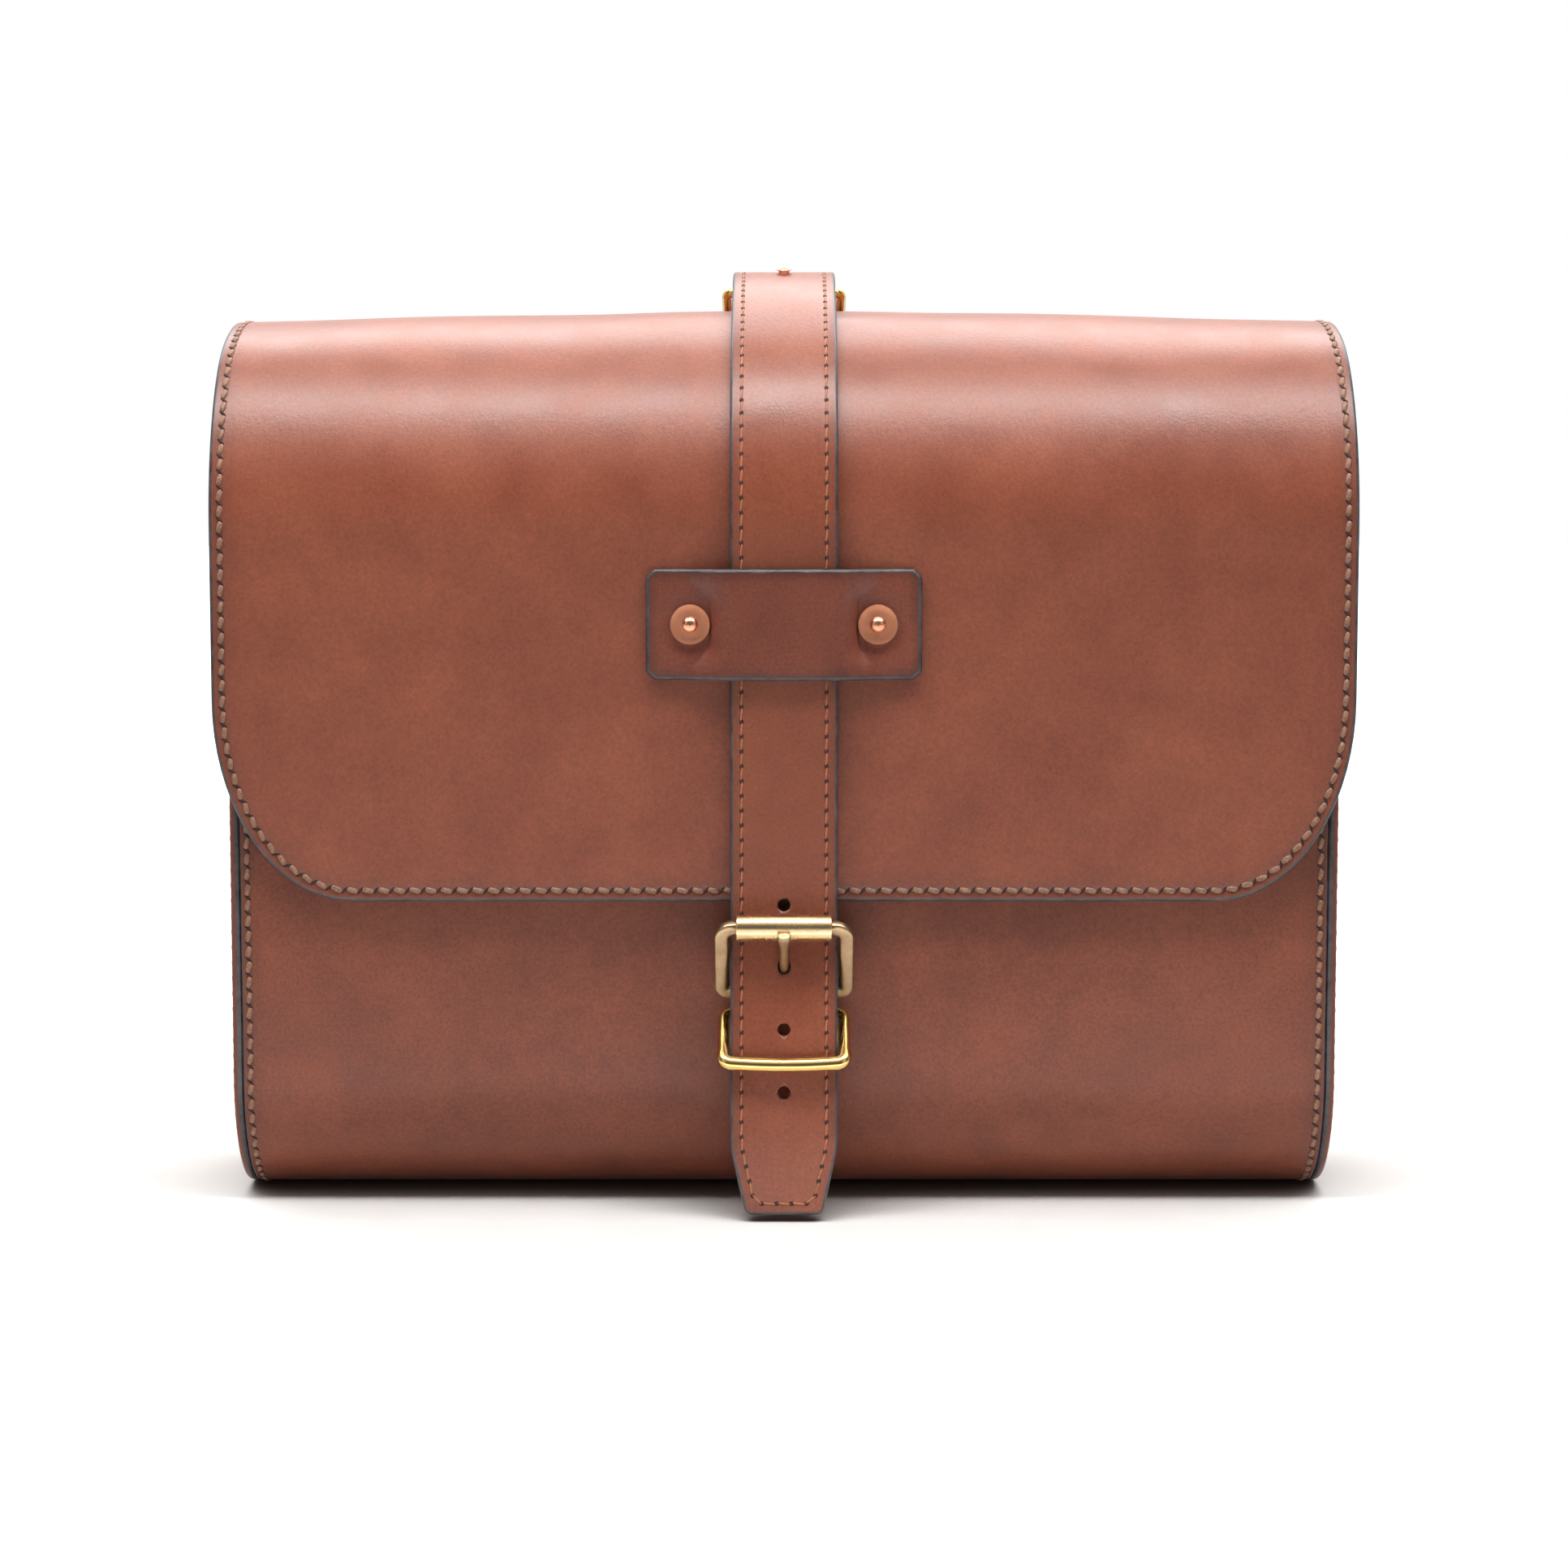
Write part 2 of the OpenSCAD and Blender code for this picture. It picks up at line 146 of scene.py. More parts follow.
def without_repeats(points):
    """The points, without any that repeats the one before it."""
    kept = [points[0]]
    for p in points[1:]:
        if math.dist(p, kept[-1]) > 1e-6:
            kept.append(p)
    return kept


def unit(vectors):
    """The rows, each scaled to length one."""
    return vectors / np.linalg.norm(vectors, axis=1)[:, None]


def lengths_along(points):
    """Distance along a polyline to each of its points."""
    return np.concatenate([[0], np.cumsum(np.linalg.norm(np.diff(points, axis=0), axis=1))])


class Path:
    """A line in the (y, z) view. Its outward side is on the left for side 1 and on the right for side -1."""

    def __init__(self, points, side):
        self.points = np.array(without_repeats(points))
        self.at_length = lengths_along(self.points)
        self.length = float(self.at_length[-1])
        ways = unit(np.diff(self.points, axis=0))
        ways = unit(np.vstack([ways[:1], ways[1:] + ways[:-1], ways[-1:]]))
        self.outward = side * np.stack([-ways[:, 1], ways[:, 0]], axis=1)

    def at(self, v):
        """Point and outward direction at length v."""
        y, z = (np.interp(v, self.at_length, self.points[:, k]) for k in (0, 1))
        ny, nz = (np.interp(v, self.at_length, self.outward[:, k]) for k in (0, 1))
        size = np.sqrt(ny * ny + nz * nz)
        return y, z, ny / size, nz / size

    def place(self, u, v, h):
        """A point u across the bag, v along the path and h outwards from it."""
        y, z, ny, nz = self.at(v)
        return np.stack([u + 0 * v, y + ny * h, z + nz * h], axis=-1)


# ---- mesh builders
def smoothstep(low, high, value):
    t = np.clip((value - low) / (high - low), 0, 1)
    return t * t * (3 - 2 * t)


def band(a, b):
    """Faces between two closed rows of vertex numbers."""
    return list(zip(a, np.roll(a, -1), np.roll(b, -1), b))


def add_object(name, data):
    obj = bpy.data.objects.new(name, data)
    bpy.context.scene.collection.objects.link(obj)
    return obj


def make_object(name, verts, faces, materials, slots=None, attribute=None, sharp=50):
    """A mesh object with outward faces, smooth where it bends less than sharp degrees."""
    mesh = bpy.data.meshes.new(name)
    mesh.from_pydata([tuple(map(float, v)) for v in verts], [], [tuple(map(int, f)) for f in faces])
    for material in materials:
        mesh.materials.append(material)
    if slots is not None:
        mesh.polygons.foreach_set("material_index", slots)
    if attribute is not None:
        mesh.attributes.new("edge", "FLOAT", "POINT").data.foreach_set("value", attribute)
    work = bmesh.new()
    work.from_mesh(mesh)
    bmesh.ops.recalc_face_normals(work, faces=work.faces)
    work.to_mesh(mesh)
    work.free()
    mesh.polygons.foreach_set("use_smooth", [True] * len(mesh.polygons))
    mesh.set_sharp_from_angle(angle=math.radians(sharp))
    return add_object(name, mesh)


def edge_profile(thickness, rounding, reach, groove=None, depth=0.3 * MM):
    """Section of a leather edge as (inset, height), from the back face, round the edge, to the front face,
    and the number of points in its rounded part."""
    turn = np.radians(np.linspace(-90, 90, 9))
    half = thickness / 2
    rim = [(rounding * (1 - math.cos(a)), half + half * math.sin(a)) for a in turn]
    front = []
    if groove:
        for step in np.linspace(-1.8, 1.8, 9):
            front.append((groove + step * MM, thickness - depth * math.exp(-(step / 0.9) ** 2)))
    return [(reach, 0)] + rim + front + [(reach, thickness)], len(rim)


def stand_for(piece, node_name, body):
    """The piece takes a CAD node's place and rides on a body."""
    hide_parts(node_name)
    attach(piece, body)


def side_name(side):
    return "left" if side < 0 else "right"


def section_slot(k, rim_count, face_rim=0):
    """Material slot of the k-th band of a section: 0 front, 1 edge, 2 back. The last face_rim bands of
    the rounded edge are left in the front's leather."""
    if k <= 1:
        return 2
    return 1 if k <= rim_count - face_rim else 0


def sheet(name, rows, columns, profile, place, materials):
    """A closed sheet of leather. rows(inset) gives (v, half width) pairs, and columns are shares of the half
    width. materials are the front, the edge and the back."""
    section, rim_count = profile
    n, m = len(rows(0)), len(columns)
    border = [(0, j) for j in range(m)] + [(i, m - 1) for i in range(1, n)]
    border += [(n - 1, j) for j in range(m - 2, -1, -1)] + [(i, 0) for i in range(n - 2, 0, -1)]
    border = np.array(border)
    verts, edge, loops, faces, slots = [], [], [], [], []
    count = 0
    for k, (inset, height) in enumerate(section):
        line = np.array(rows(inset))
        v = np.repeat(line[:, :1], m, axis=1)
        u = line[:, 1:] * np.array(columns)[None, :]
        if k in (0, len(section) - 1):
            verts.append(place(u.ravel(), v.ravel(), height))
            loops.append(count + border[:, 0] * m + border[:, 1])
            for i in range(n - 1):
                for j in range(m - 1):
                    a = count + i * m + j
                    faces.append((a, a + 1, a + m + 1, a + m))
                    slots.append(2 if k == 0 else 0)
            added = n * m
        else:
            verts.append(place(u[border[:, 0], border[:, 1]], v[border[:, 0], border[:, 1]], height))
            loops.append(count + np.arange(len(border)))
            added = len(border)
        edge.append(np.full(added, inset / MM))
        count += added
        if k:
            faces += band(loops[-2], loops[-1])
            slots += [section_slot(k, rim_count)] * len(border)
    return make_object(name, np.vstack(verts), faces, materials, slots, np.concatenate(edge))


def inward_of(outline):
    """Unit directions into a closed counter-clockwise outline, one for each point."""
    way = unit(np.roll(outline, -1, axis=0) - np.roll(outline, 1, axis=0))
    return np.stack([-way[:, 1], way[:, 0]], axis=1)


def plate(name, outline, profile, place, materials, face_rim=0, rings=10):
    """A closed plate with a smooth closed outline of (a, b) points, filled by rings that shrink to its
    centre."""
    section, rim_count = profile
    inward = inward_of(outline)
    centre = outline.mean(axis=0)
    size = len(outline)
    reach = section[0][0]
    inner = outline + inward * reach
    fills = [centre + (inner - centre) * share for share in np.linspace(0.04, 1, rings)]
    stack = [(points, section[0][1], reach, 2) for points in fills]
    for k, (inset, height) in enumerate(section[1:], 1):
        stack.append((outline + inward * inset, height, inset, section_slot(k, rim_count, face_rim)))
    stack += [(points, section[-1][1], reach, 0) for points in reversed(fills[:-1])]
    ring = np.arange(size)
    verts, edge, faces, slots = [], [], [], []
    for k, (points, height, inset, slot) in enumerate(stack):
        verts.append(place(points[:, 0], points[:, 1], height))
        edge += [inset / MM] * size
        if k:
            faces += band(ring + (k - 1) * size, ring + k * size)
            slots += [slot] * size
    faces += [ring, ring + (len(stack) - 1) * size]
    slots += [2, 0]
    return make_object(name, np.vstack(verts), faces, materials, slots, edge)


def rectangle_rows(half, length, count):
    def rows(inset):
        return [(v, half - inset) for v in np.linspace(inset, length - inset, count)]
    return rows


def on_surface(place, line, height):
    """Points of a (u, v) line on a sheet, with their outward directions."""
    line = np.array(line)
    points = place(line[:, 0], line[:, 1], height)
    outward = place(line[:, 0], line[:, 1], height + 0.1 * MM) - points
    return points, unit(outward)


def spaced(points, outward, pitch):
    """Evenly spaced points along a polyline, with directions outwards and ahead."""
    length = lengths_along(points)
    count = max(2, int(round(length[-1] / pitch)))
    where = np.linspace(0, length[-1], count + 1)
    at, out = (np.stack([np.interp(where, length, line[:, k]) for k in range(3)], axis=1)
               for line in (points, outward))
    out = unit(out)
    ahead = np.gradient(at, axis=0)
    ahead -= (ahead * out).sum(axis=1)[:, None] * out
    return at, out, unit(ahead)


def blobs(name, centres, outs, longs, half_sizes, material, sides=10, rings=7, dip=0.0, ply=0.0):
    """Closed rounded grains at the given places: half_sizes are along, across and outwards.
    dip sinks the two ends, and ply twists a strand pattern round each grain."""
    s = np.linspace(-1, 1, rings + 2)[1:-1]
    s = np.sin(s * math.pi / 2)
    girth = (1 - np.abs(s) ** 3.2) ** 0.5
    phi = np.linspace(0, 2 * math.pi, sides, endpoint=False)
    along, across, up = half_sizes
    strand = 1 + ply * np.sin(3 * phi[None, :] + 7 * s[:, None])
    x = np.repeat(s[:, None], sides, axis=1) * along
    y = girth[:, None] * np.cos(phi)[None, :] * across * strand
    z = girth[:, None] * np.sin(phi)[None, :] * up * strand - dip * (s * s)[:, None]
    local = np.stack([x, y, z], axis=-1).reshape(-1, 3)
    local = np.vstack([local, [[-along, 0, -dip], [along, 0, -dip]]])
    ring = np.arange(sides)
    faces = []
    for i in range(rings - 1):
        faces += band(ring + i * sides, ring + (i + 1) * sides)
    last = rings * sides
    for j in range(sides):
        k = (j + 1) % sides
        faces.append((last, k, j))
        faces.append((last + 1, last - sides + j, last - sides + k))
    verts, all_faces = [], []
    for index, (c, out, way) in enumerate(zip(centres, outs, longs)):
        basis = np.stack([way, np.cross(out, way), out])
        verts.append(local @ basis + c)
        shift = index * len(local)
        all_faces += [tuple(shift + i for i in f) for f in faces]
    return make_object(name, np.vstack(verts), all_faces, [material], sharp=180)


def turned(outs, ways, degrees):
    """Directions turned about outs by an angle."""
    a = math.radians(degrees)
    return ways * math.cos(a) + np.cross(outs, ways) * math.sin(a)


def join(name, parts):
    """One object out of several, keeping their materials."""
    bpy.ops.object.select_all(action="DESELECT")
    for part in parts:
        part.select_set(True)
    bpy.context.view_layer.objects.active = parts[0]
    bpy.ops.object.join()
    parts[0].name = name
    return parts[0]


def grains(name, at, out, way, turn=0, lift=0.0, **shape):
    """Blobs at points of a surface, turned by an angle and lifted off it."""
    return blobs(name, at + out * lift, out, turned(out, way, turn), **shape)


def stitch_row(name, points, outward, pitch, thread, hole):
    """A row of grains of thread, with a dark mark of painted shade for the hole at each end of a grain."""
    at, out, ahead = spaced(points, outward, pitch)
    mid_out, mid_way = unit(out[1:] + out[:-1]), unit(at[1:] - at[:-1])
    threads = grains(name, (at[1:] + at[:-1]) / 2, mid_out, mid_way, **thread)
    # The holes and slits are dark blobs on the leather: painted shade of the awl holes.
    holes = grains(name + "_holes", at, out, ahead, material=hole_shade, rings=5, **hole)
    return join(name, [threads, holes])


def saddle_stitch(name, points, outward):
    """Thick slanted hand stitches with a dark mark of painted shade for the awl slit between each pair."""
    pitch, thread_r = 4.7 * MM, 0.86 * MM
    thread = {"half_sizes": (pitch * 0.45, thread_r, thread_r * 0.75), "turn": -14, "lift": 0.2 * MM,
              "dip": 0.5 * MM, "ply": 0.07, "material": seam_thread}
    slit = {"half_sizes": (1.5 * MM, 0.42 * MM, 0.2 * MM), "turn": 48, "lift": 0.15 * MM, "sides": 8}
    return stitch_row(name, points, outward, pitch, thread, slit)


def fine_stitch(name, points, outward):
    """Thin machine stitches between small round holes, which are dark marks of painted shade."""
    pitch, thread_r = 4.4 * MM, 0.3 * MM
    thread = {"half_sizes": (pitch * 0.47, thread_r, thread_r * 0.8), "turn": -6, "lift": 0.05 * MM,
              "dip": 0.12 * MM, "sides": 8, "material": strap_thread}
    hole = {"half_sizes": (0.8 * MM, 0.66 * MM, 0.08 * MM)}
    return stitch_row(name, points, outward, pitch, thread, hole)


def sweep(name, centres, sections, across, material, closed=True):
    """A bar along a 3-D line. sections gives (half across, half through, squareness) at each point,
    and across is the direction that the sections' second size lies along."""
    centres = np.array(centres)
    size = len(centres)
    sides = 28
    phi = np.linspace(0, 2 * math.pi, sides, endpoint=False)
    if closed:
        way = np.roll(centres, -1, axis=0) - np.roll(centres, 1, axis=0)
    else:
        way = np.gradient(centres, axis=0)
    way = unit(way)
    through = np.array(across, float)
    through /= np.linalg.norm(through)
    verts = []
    for c, t, (a, b, power) in zip(centres, way, sections):
        side = np.cross(t, through)
        side /= np.linalg.norm(side)
        cos, sin = np.cos(phi), np.sin(phi)
        x = np.sign(cos) * np.abs(cos) ** (2 / power) * a
        y = np.sign(sin) * np.abs(sin) ** (2 / power) * b
        verts.append(c + x[:, None] * side + y[:, None] * through)
    ring = np.arange(sides)
    faces = []
    for i in range(size if closed else size - 1):
        faces += band(ring + i * sides, ring + (i + 1) % size * sides)
    if not closed:
        faces += [ring, ring + (size - 1) * sides]
    return make_object(name, np.vstack(verts), faces, [material], sharp=60)


def cut(obj, cutter):
    """Takes the cutter out of obj and deletes the cutter."""
    modifier = obj.modifiers.new("cut", "BOOLEAN")
    modifier.operation = "DIFFERENCE"
    modifier.solver = "EXACT"
    modifier.object = cutter
    apply_modifiers(obj)
    bpy.data.objects.remove(cutter)


def apply_modifiers(obj):
    graph = bpy.context.evaluated_depsgraph_get()
    mesh = bpy.data.meshes.new_from_object(obj.evaluated_get(graph), depsgraph=graph)
    obj.modifiers.clear()
    obj.data = mesh


def about(centre, axis):
    """A function from (angle, radius, along) to a point, about an axis through centre."""
    turn = Vector(axis).to_track_quat("Z", "Y").to_matrix()
    return lambda a, radius, along: (
        Vector(centre) + turn @ Vector((radius * math.cos(a), radius * math.sin(a), along)))


def drill(start, end, radius, sides=32):
    """A round cutter from start to end."""
    way = Vector(end) - Vector(start)
    point = about(start, way)
    turns = [2 * math.pi * k / sides for k in range(sides)]
    verts = [point(a, radius, height) for height in (0, way.length) for a in turns]
    ring = np.arange(sides)
    faces = band(ring, ring + sides) + [ring, ring + sides]
    return make_object("cutter", verts, faces, [hole_shade])


# ---- materials
def linear(*srgb):
    """A colour given as 0 to 255 display values, as scene-linear RGBA."""
    out = []
    for c in srgb:
        c /= 255
        out.append(c / 12.92 if c <= 0.04045 else ((c + 0.055) / 1.055) ** 2.4)
    return (*out, 1.0)


def wire(tree, target, inputs):
    """Links every input whose value is a socket, and sets any other."""
    for key, value in inputs.items():
        if isinstance(value, bpy.types.NodeSocket):
            tree.links.new(value, target.inputs[key])
        else:
            target.inputs[key].default_value = value


def node(tree, kind, inputs=None, **settings):
    """Adds a node, with its settings and wired inputs."""
    made = tree.nodes.new(kind)
    for key, value in settings.items():
        setattr(made, key, value)
    wire(tree, made, inputs or {})
    return made


def new_material(name):
    material = bpy.data.materials.new(name)
    material.use_nodes = True
    tree = material.node_tree
    return material, tree, tree.nodes["Principled BSDF"]


def position(tree, stretch=(1, 1, 1)):
    coords = node(tree, "ShaderNodeTexCoord").outputs["Object"]
    return node(tree, "ShaderNodeMapping", {"Vector": coords, "Scale": stretch}).outputs["Vector"]


def noise(tree, vector, scale, detail=3, roughness=0.55):
    made = node(tree, "ShaderNodeTexNoise",
                {"Vector": vector, "Scale": scale, "Detail": detail, "Roughness": roughness})
    return made.outputs["Fac"]


def remap(tree, value, low, high, to_low=0, to_high=1):
    made = node(tree, "ShaderNodeMapRange", {"Value": value, "From Min": low, "From Max": high,
                                             "To Min": to_low, "To Max": to_high})
    return made.outputs["Result"]


def mix_colour(tree, factor, a, b, blend="MIX"):
    """Mixes two colours, each a socket or (red, green, blue) display values."""
    a, b = (linear(*c) if isinstance(c, tuple) else c for c in (a, b))
    made = node(tree, "ShaderNodeMix", {0: factor, 6: a, 7: b}, data_type="RGBA", blend_type=blend)
    return made.outputs[2]


def maths(tree, operation, a, b):
    return node(tree, "ShaderNodeMath", {0: a, 1: b}, operation=operation).outputs[0]


def weighted(tree, *parts):
    """The sum of (value, weight) parts."""
    total = 0.0
    for value, weight in parts:
        total = maths(tree, "ADD", total, maths(tree, "MULTIPLY", value, weight))
    return total


def bump(tree, height, strength, depth):
    made = node(tree, "ShaderNodeBump", {"Height": height, "Strength": strength, "Distance": depth})
    return made.outputs["Normal"]


def leather(name, light, dark, shadow, gloss, edge_reach, edge_shade, shine):
    """Burnished vegetable-tanned leather: soft mottling, fine grain and darker towards its edges. edge_reach
    is in mm."""
    material, tree, shader = new_material(name)
    where = position(tree)
    broad = noise(tree, where, 14, 4, 0.6)
    cloudy = noise(tree, where, 55, 5, 0.65)
    speck = noise(tree, where, 1000, 4, 0.8)
    fibres = noise(tree, position(tree, (900, 900, 260)), 1, 2, 0.5)
    tone = weighted(tree, (broad, 0.62), (cloudy, 0.38))
    colour = mix_colour(tree, remap(tree, tone, 0.36, 0.64), dark, light)
    grey = remap(tree, speck, 0.3, 0.7, 0.72, 1.24)
    specks = node(tree, "ShaderNodeCombineColor", {"Red": grey, "Green": grey, "Blue": grey}).outputs[0]
    colour = mix_colour(tree, 1.0, colour, specks, "MULTIPLY")
    edge = node(tree, "ShaderNodeAttribute", attribute_name="edge").outputs["Fac"]
    worn = maths(tree, "ADD", edge, remap(tree, cloudy, 0.3, 0.7, -1.2, 1.2))
    colour = mix_colour(tree, remap(tree, worn, 0.6, edge_reach, edge_shade, 0.0), colour, shadow)
    pebble = node(tree, "ShaderNodeTexVoronoi", {"Vector": where, "Scale": 1500}).outputs["Distance"]
    height = weighted(tree, (pebble, 0.5), (fibres, 0.7), (cloudy, 1.2))
    wire(tree, shader, {"Base Color": colour, "Normal": bump(tree, height, 0.22, 0.25 * MM),
                        "Roughness": remap(tree, cloudy, 0.3, 0.7, gloss - 0.05, gloss + 0.07),
                        "Specular IOR Level": shine})
    return material


def burnished_edge(name):
    """The polished dark blue-grey cut edge."""
    material, tree, shader = new_material(name)
    rubbed = noise(tree, position(tree), 260, 4, 0.6)
    colour = mix_colour(tree, remap(tree, rubbed, 0.35, 0.7), (42, 36, 36), (72, 67, 70))
    wire(tree, shader, {"Base Color": colour, "Normal": bump(tree, rubbed, 0.3, 0.2 * MM),
                        "Roughness": remap(tree, rubbed, 0.3, 0.7, 0.3, 0.5)})
    return material


def flesh_side(name, light, dark):
    """The matte, fibrous inner side of the leather."""
    material, tree, shader = new_material(name)
    where = position(tree)
    nap = noise(tree, where, 420, 6, 0.75)
    patch = noise(tree, where, 25, 3, 0.5)
    tone = weighted(tree, (nap, 0.6), (patch, 0.4))
    wire(tree, shader, {"Base Color": mix_colour(tree, remap(tree, tone, 0.35, 0.65), dark, light),
                        "Normal": bump(tree, nap, 0.5, 0.4 * MM), "Roughness": 0.85, "Sheen Weight": 0.2})
    return material


def metal(name, bright, dull, roughness, brushed, wear=0.5, relief=0.12):
    """Brass or copper with a brushed finish and patches of dull patina."""
    material, tree, shader = new_material(name)
    patina = noise(tree, position(tree), 160, 4, 0.6)
    lines = noise(tree, position(tree, brushed), 1, 3, 0.6)
    wire(tree, shader, {"Base Color": mix_colour(tree, remap(tree, patina, 0.4, 0.75, 0, wear), bright, dull),
                        "Normal": bump(tree, lines, relief, 0.1 * MM), "Metallic": 1.0,
                        "Roughness": remap(tree, patina, 0.3, 0.7, roughness - 0.04, roughness + 0.08)})
    return material


def waxed_thread(name, light, dark):
    material, tree, shader = new_material(name)
    strand = noise(tree, position(tree), 1800, 3, 0.6)
    wire(tree, shader, {"Base Color": mix_colour(tree, remap(tree, strand, 0.35, 0.65), dark, light),
                        "Normal": bump(tree, strand, 0.4, 0.15 * MM), "Roughness": 0.6})
    return material


# Painted shade: a dark colour for the marks that stand for the shade inside stitch holes and awl slits.
def painted_hole_shade(name):
    material, tree, shader = new_material(name)
    speck = noise(tree, position(tree), 900, 2, 0.5)
    wire(tree, shader, {"Base Color": mix_colour(tree, speck, (24, 14, 12), (58, 32, 24)),
                        "Roughness": 0.9})
    return material


flap_leather = leather("flap_leather", (130, 70, 48), (116, 60, 42), (70, 40, 34),
                       gloss=0.36, edge_reach=12, edge_shade=0.4, shine=0.42)
# Body leather: the leather's own tone, made darker than the flap's as painted shade for the front panel under
# the flap.
body_leather = leather("body_leather", (118, 64, 46), (102, 54, 39), (60, 36, 31),
                       gloss=0.4, edge_reach=8, edge_shade=0.35, shine=0.28)
strap_leather = leather("strap_leather", (126, 67, 45), (111, 58, 40), (66, 38, 31),
                        gloss=0.33, edge_reach=4, edge_shade=0.35, shine=0.42)
retainer_leather = leather("retainer_leather", (112, 59, 43), (98, 51, 39), (44, 29, 30),
                           gloss=0.35, edge_reach=4, edge_shade=0.5, shine=0.35)
edge_dark = burnished_edge("burnished_edge")
flesh = flesh_side("flesh_side", (172, 118, 84), (126, 80, 56))
lining_face = flesh_side("lining_leather", (160, 104, 74), (128, 80, 56))
brass_roller = metal("brass_roller", (232, 204, 156), (190, 154, 104), 0.24, (60, 400, 400),
                     relief=0.02)
brass_frame = metal("brass_frame", (174, 148, 116), (130, 108, 82), 0.34, (300, 300, 300), wear=0.8)
brass_ring = metal("brass_ring", (236, 198, 122), (200, 158, 90), 0.14, (400, 400, 400), wear=0.35)
copper_bright = metal("copper_bright", (236, 166, 134), (206, 128, 98), 0.26, (500, 500, 500))
copper_washer = metal("copper_washer", (194, 132, 102), (160, 104, 80), 0.48, (500, 500, 500),
                      wear=0.7, relief=0.06)
seam_thread = waxed_thread("seam_thread", (142, 103, 81), (98, 68, 52))
strap_thread = waxed_thread("strap_thread", (170, 104, 64), (128, 74, 47))
hole_shade = painted_hole_shade("painted_hole_shade")


# ---- flap
flap_path = Path([(flap_lo.y, flap_lo.z)] + arc(shoulder, shoulder_r, 180, 90, 60)
                 + arc(fold, fold_r, 90, 0, 30) + [(fold_hi.y, fold_lo.z)], 1)
side_drop, middle_rise = 2.4 * MM, 1.0 * MM


def waver(u, v, size):
    """A slow, shallow unevenness of hand-worked leather."""
    a = np.sin(u * 31 + 1.7) * np.sin(v * 43 + 0.6)
    b = np.sin(u * 67 - v * 29 + 2.1) * 0.6
    c = np.sin(u * 18 + v * 88 + 0.3) * 0.4
    return size * (a + b + c)


def flap_place(u, v, h):
    """The flap's outer face is h = 0. Its top is crowned: higher in the middle and lower at both sides."""
    p = flap_path.place(u, v, h)
    angle = np.degrees(np.arctan2(p[:, 2] - shoulder[1], p[:, 1] - shoulder[0]))
    on_top = np.where(p[:, 1] > shoulder[0], 1.0, smoothstep(160, 95, angle))
    near_top = np.where(p[:, 1] > shoulder[0], 1.0, smoothstep(122, 104, angle))
    down_back = smoothstep(fold[1] - 5 * MM, fold[1] + 12 * MM, p[:, 2])
    share = np.clip(np.abs(u) / flap_half, 0, 1)
    p[:, 2] -= side_drop * share ** 2.2 * on_top * down_back
    p[:, 2] += middle_rise * (1 - smoothstep(0, 0.6, share)) * near_top * down_back
    free = smoothstep(20 * MM, 60 * MM, np.abs(u)) * down_back * (p[:, 1] < fold[0])
    away = waver(u, v, 0.35 * MM) * free
    ny, nz = flap_path.at(v)[2:]
    p[:, 1] += ny * away
    p[:, 2] += nz * away
    return p


def flap_rows(inset):
    turn = np.radians(np.linspace(90, 0, 19))
    low = [(corner_h - (corner_h - inset) * math.sin(a),
            flap_half - corner_w + (corner_w - inset) * math.cos(a)) for a in turn]
    high = [(v, flap_half - inset) for v in np.linspace(corner_h, flap_path.length - inset, 130)[1:]]
    return low + high


def build_flap():
    columns = np.linspace(-1, 1, 71)
    stitch_inset = 3.3 * MM
    outer = sheet("flap_outer_leather", flap_rows, columns,
                  edge_profile(flap_t, 1.05 * MM, 9 * MM, stitch_inset),
                  lambda u, v, h: flap_place(u, v, h - flap_t), [flap_leather, edge_dark, flesh])
    lining = sheet("flap_lining_leather", flap_rows, columns,
                   edge_profile(lining_t, 0.5 * MM, 9 * MM),
                   lambda u, v, h: flap_place(u, v, h - flap_t - lining_t),
                   [lining_face, edge_dark, lining_face])
    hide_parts("flap_outer", "flap_back")
    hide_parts("flap_lining")
    rows = flap_rows(stitch_inset)[:-12]
    left = [(-half, v) for v, half in reversed(rows)]
    bottom = [(u, rows[0][0]) for u in np.linspace(-rows[0][1], rows[0][1], 60)[1:-1]]
    right = [(half, v) for v, half in rows]
    seam = left + bottom + right
    front = saddle_stitch("flap_stitching", *on_surface(flap_place, seam, -0.3 * MM))
    points, outward = on_surface(flap_place, seam, -flap_t - lining_t)
    inside = saddle_stitch("flap_stitching_inside", points, -outward)
    for piece in (outer, lining, front, inside):
        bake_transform(piece)


# ---- body
def round_bottom(count):
    """The line under the bag, with a round corner in front and one behind."""
    return (arc((front_y + bottom_r, bottom_r), bottom_r, 180, 270, count)
            + arc((back_y - bottom_r, bottom_r), bottom_r, 270, 360, count))


body_path = Path([(front_y, gusset_hi.z - gusset_r)] + round_bottom(24) + [(back_y, wrap_hi.z)], -1)


def body_place(u, v, h):
    """The wrap's outer face is h = 0. The front sags slightly between the base and the flap."""
    p = body_path.place(u, v, h)
    middle = 1 - smoothstep(0.55, 1.0, np.abs(u) / wrap_hi.x)
    under_flap = smoothstep(160 * MM, 200 * MM, p[:, 2])
    free = smoothstep(bottom_r * 0.6, bottom_r * 1.3, p[:, 2]) * (1 - under_flap)
    in_front = p[:, 1] < 0
    clear_of_chape = smoothstep(18 * MM, 40 * MM, np.abs(u))
    away = (0.5 * MM * middle + waver(u, v, 0.25 * MM)) * free * clear_of_chape
    p[:, 1] += np.where(in_front, -away, away * 0.6)
    return p


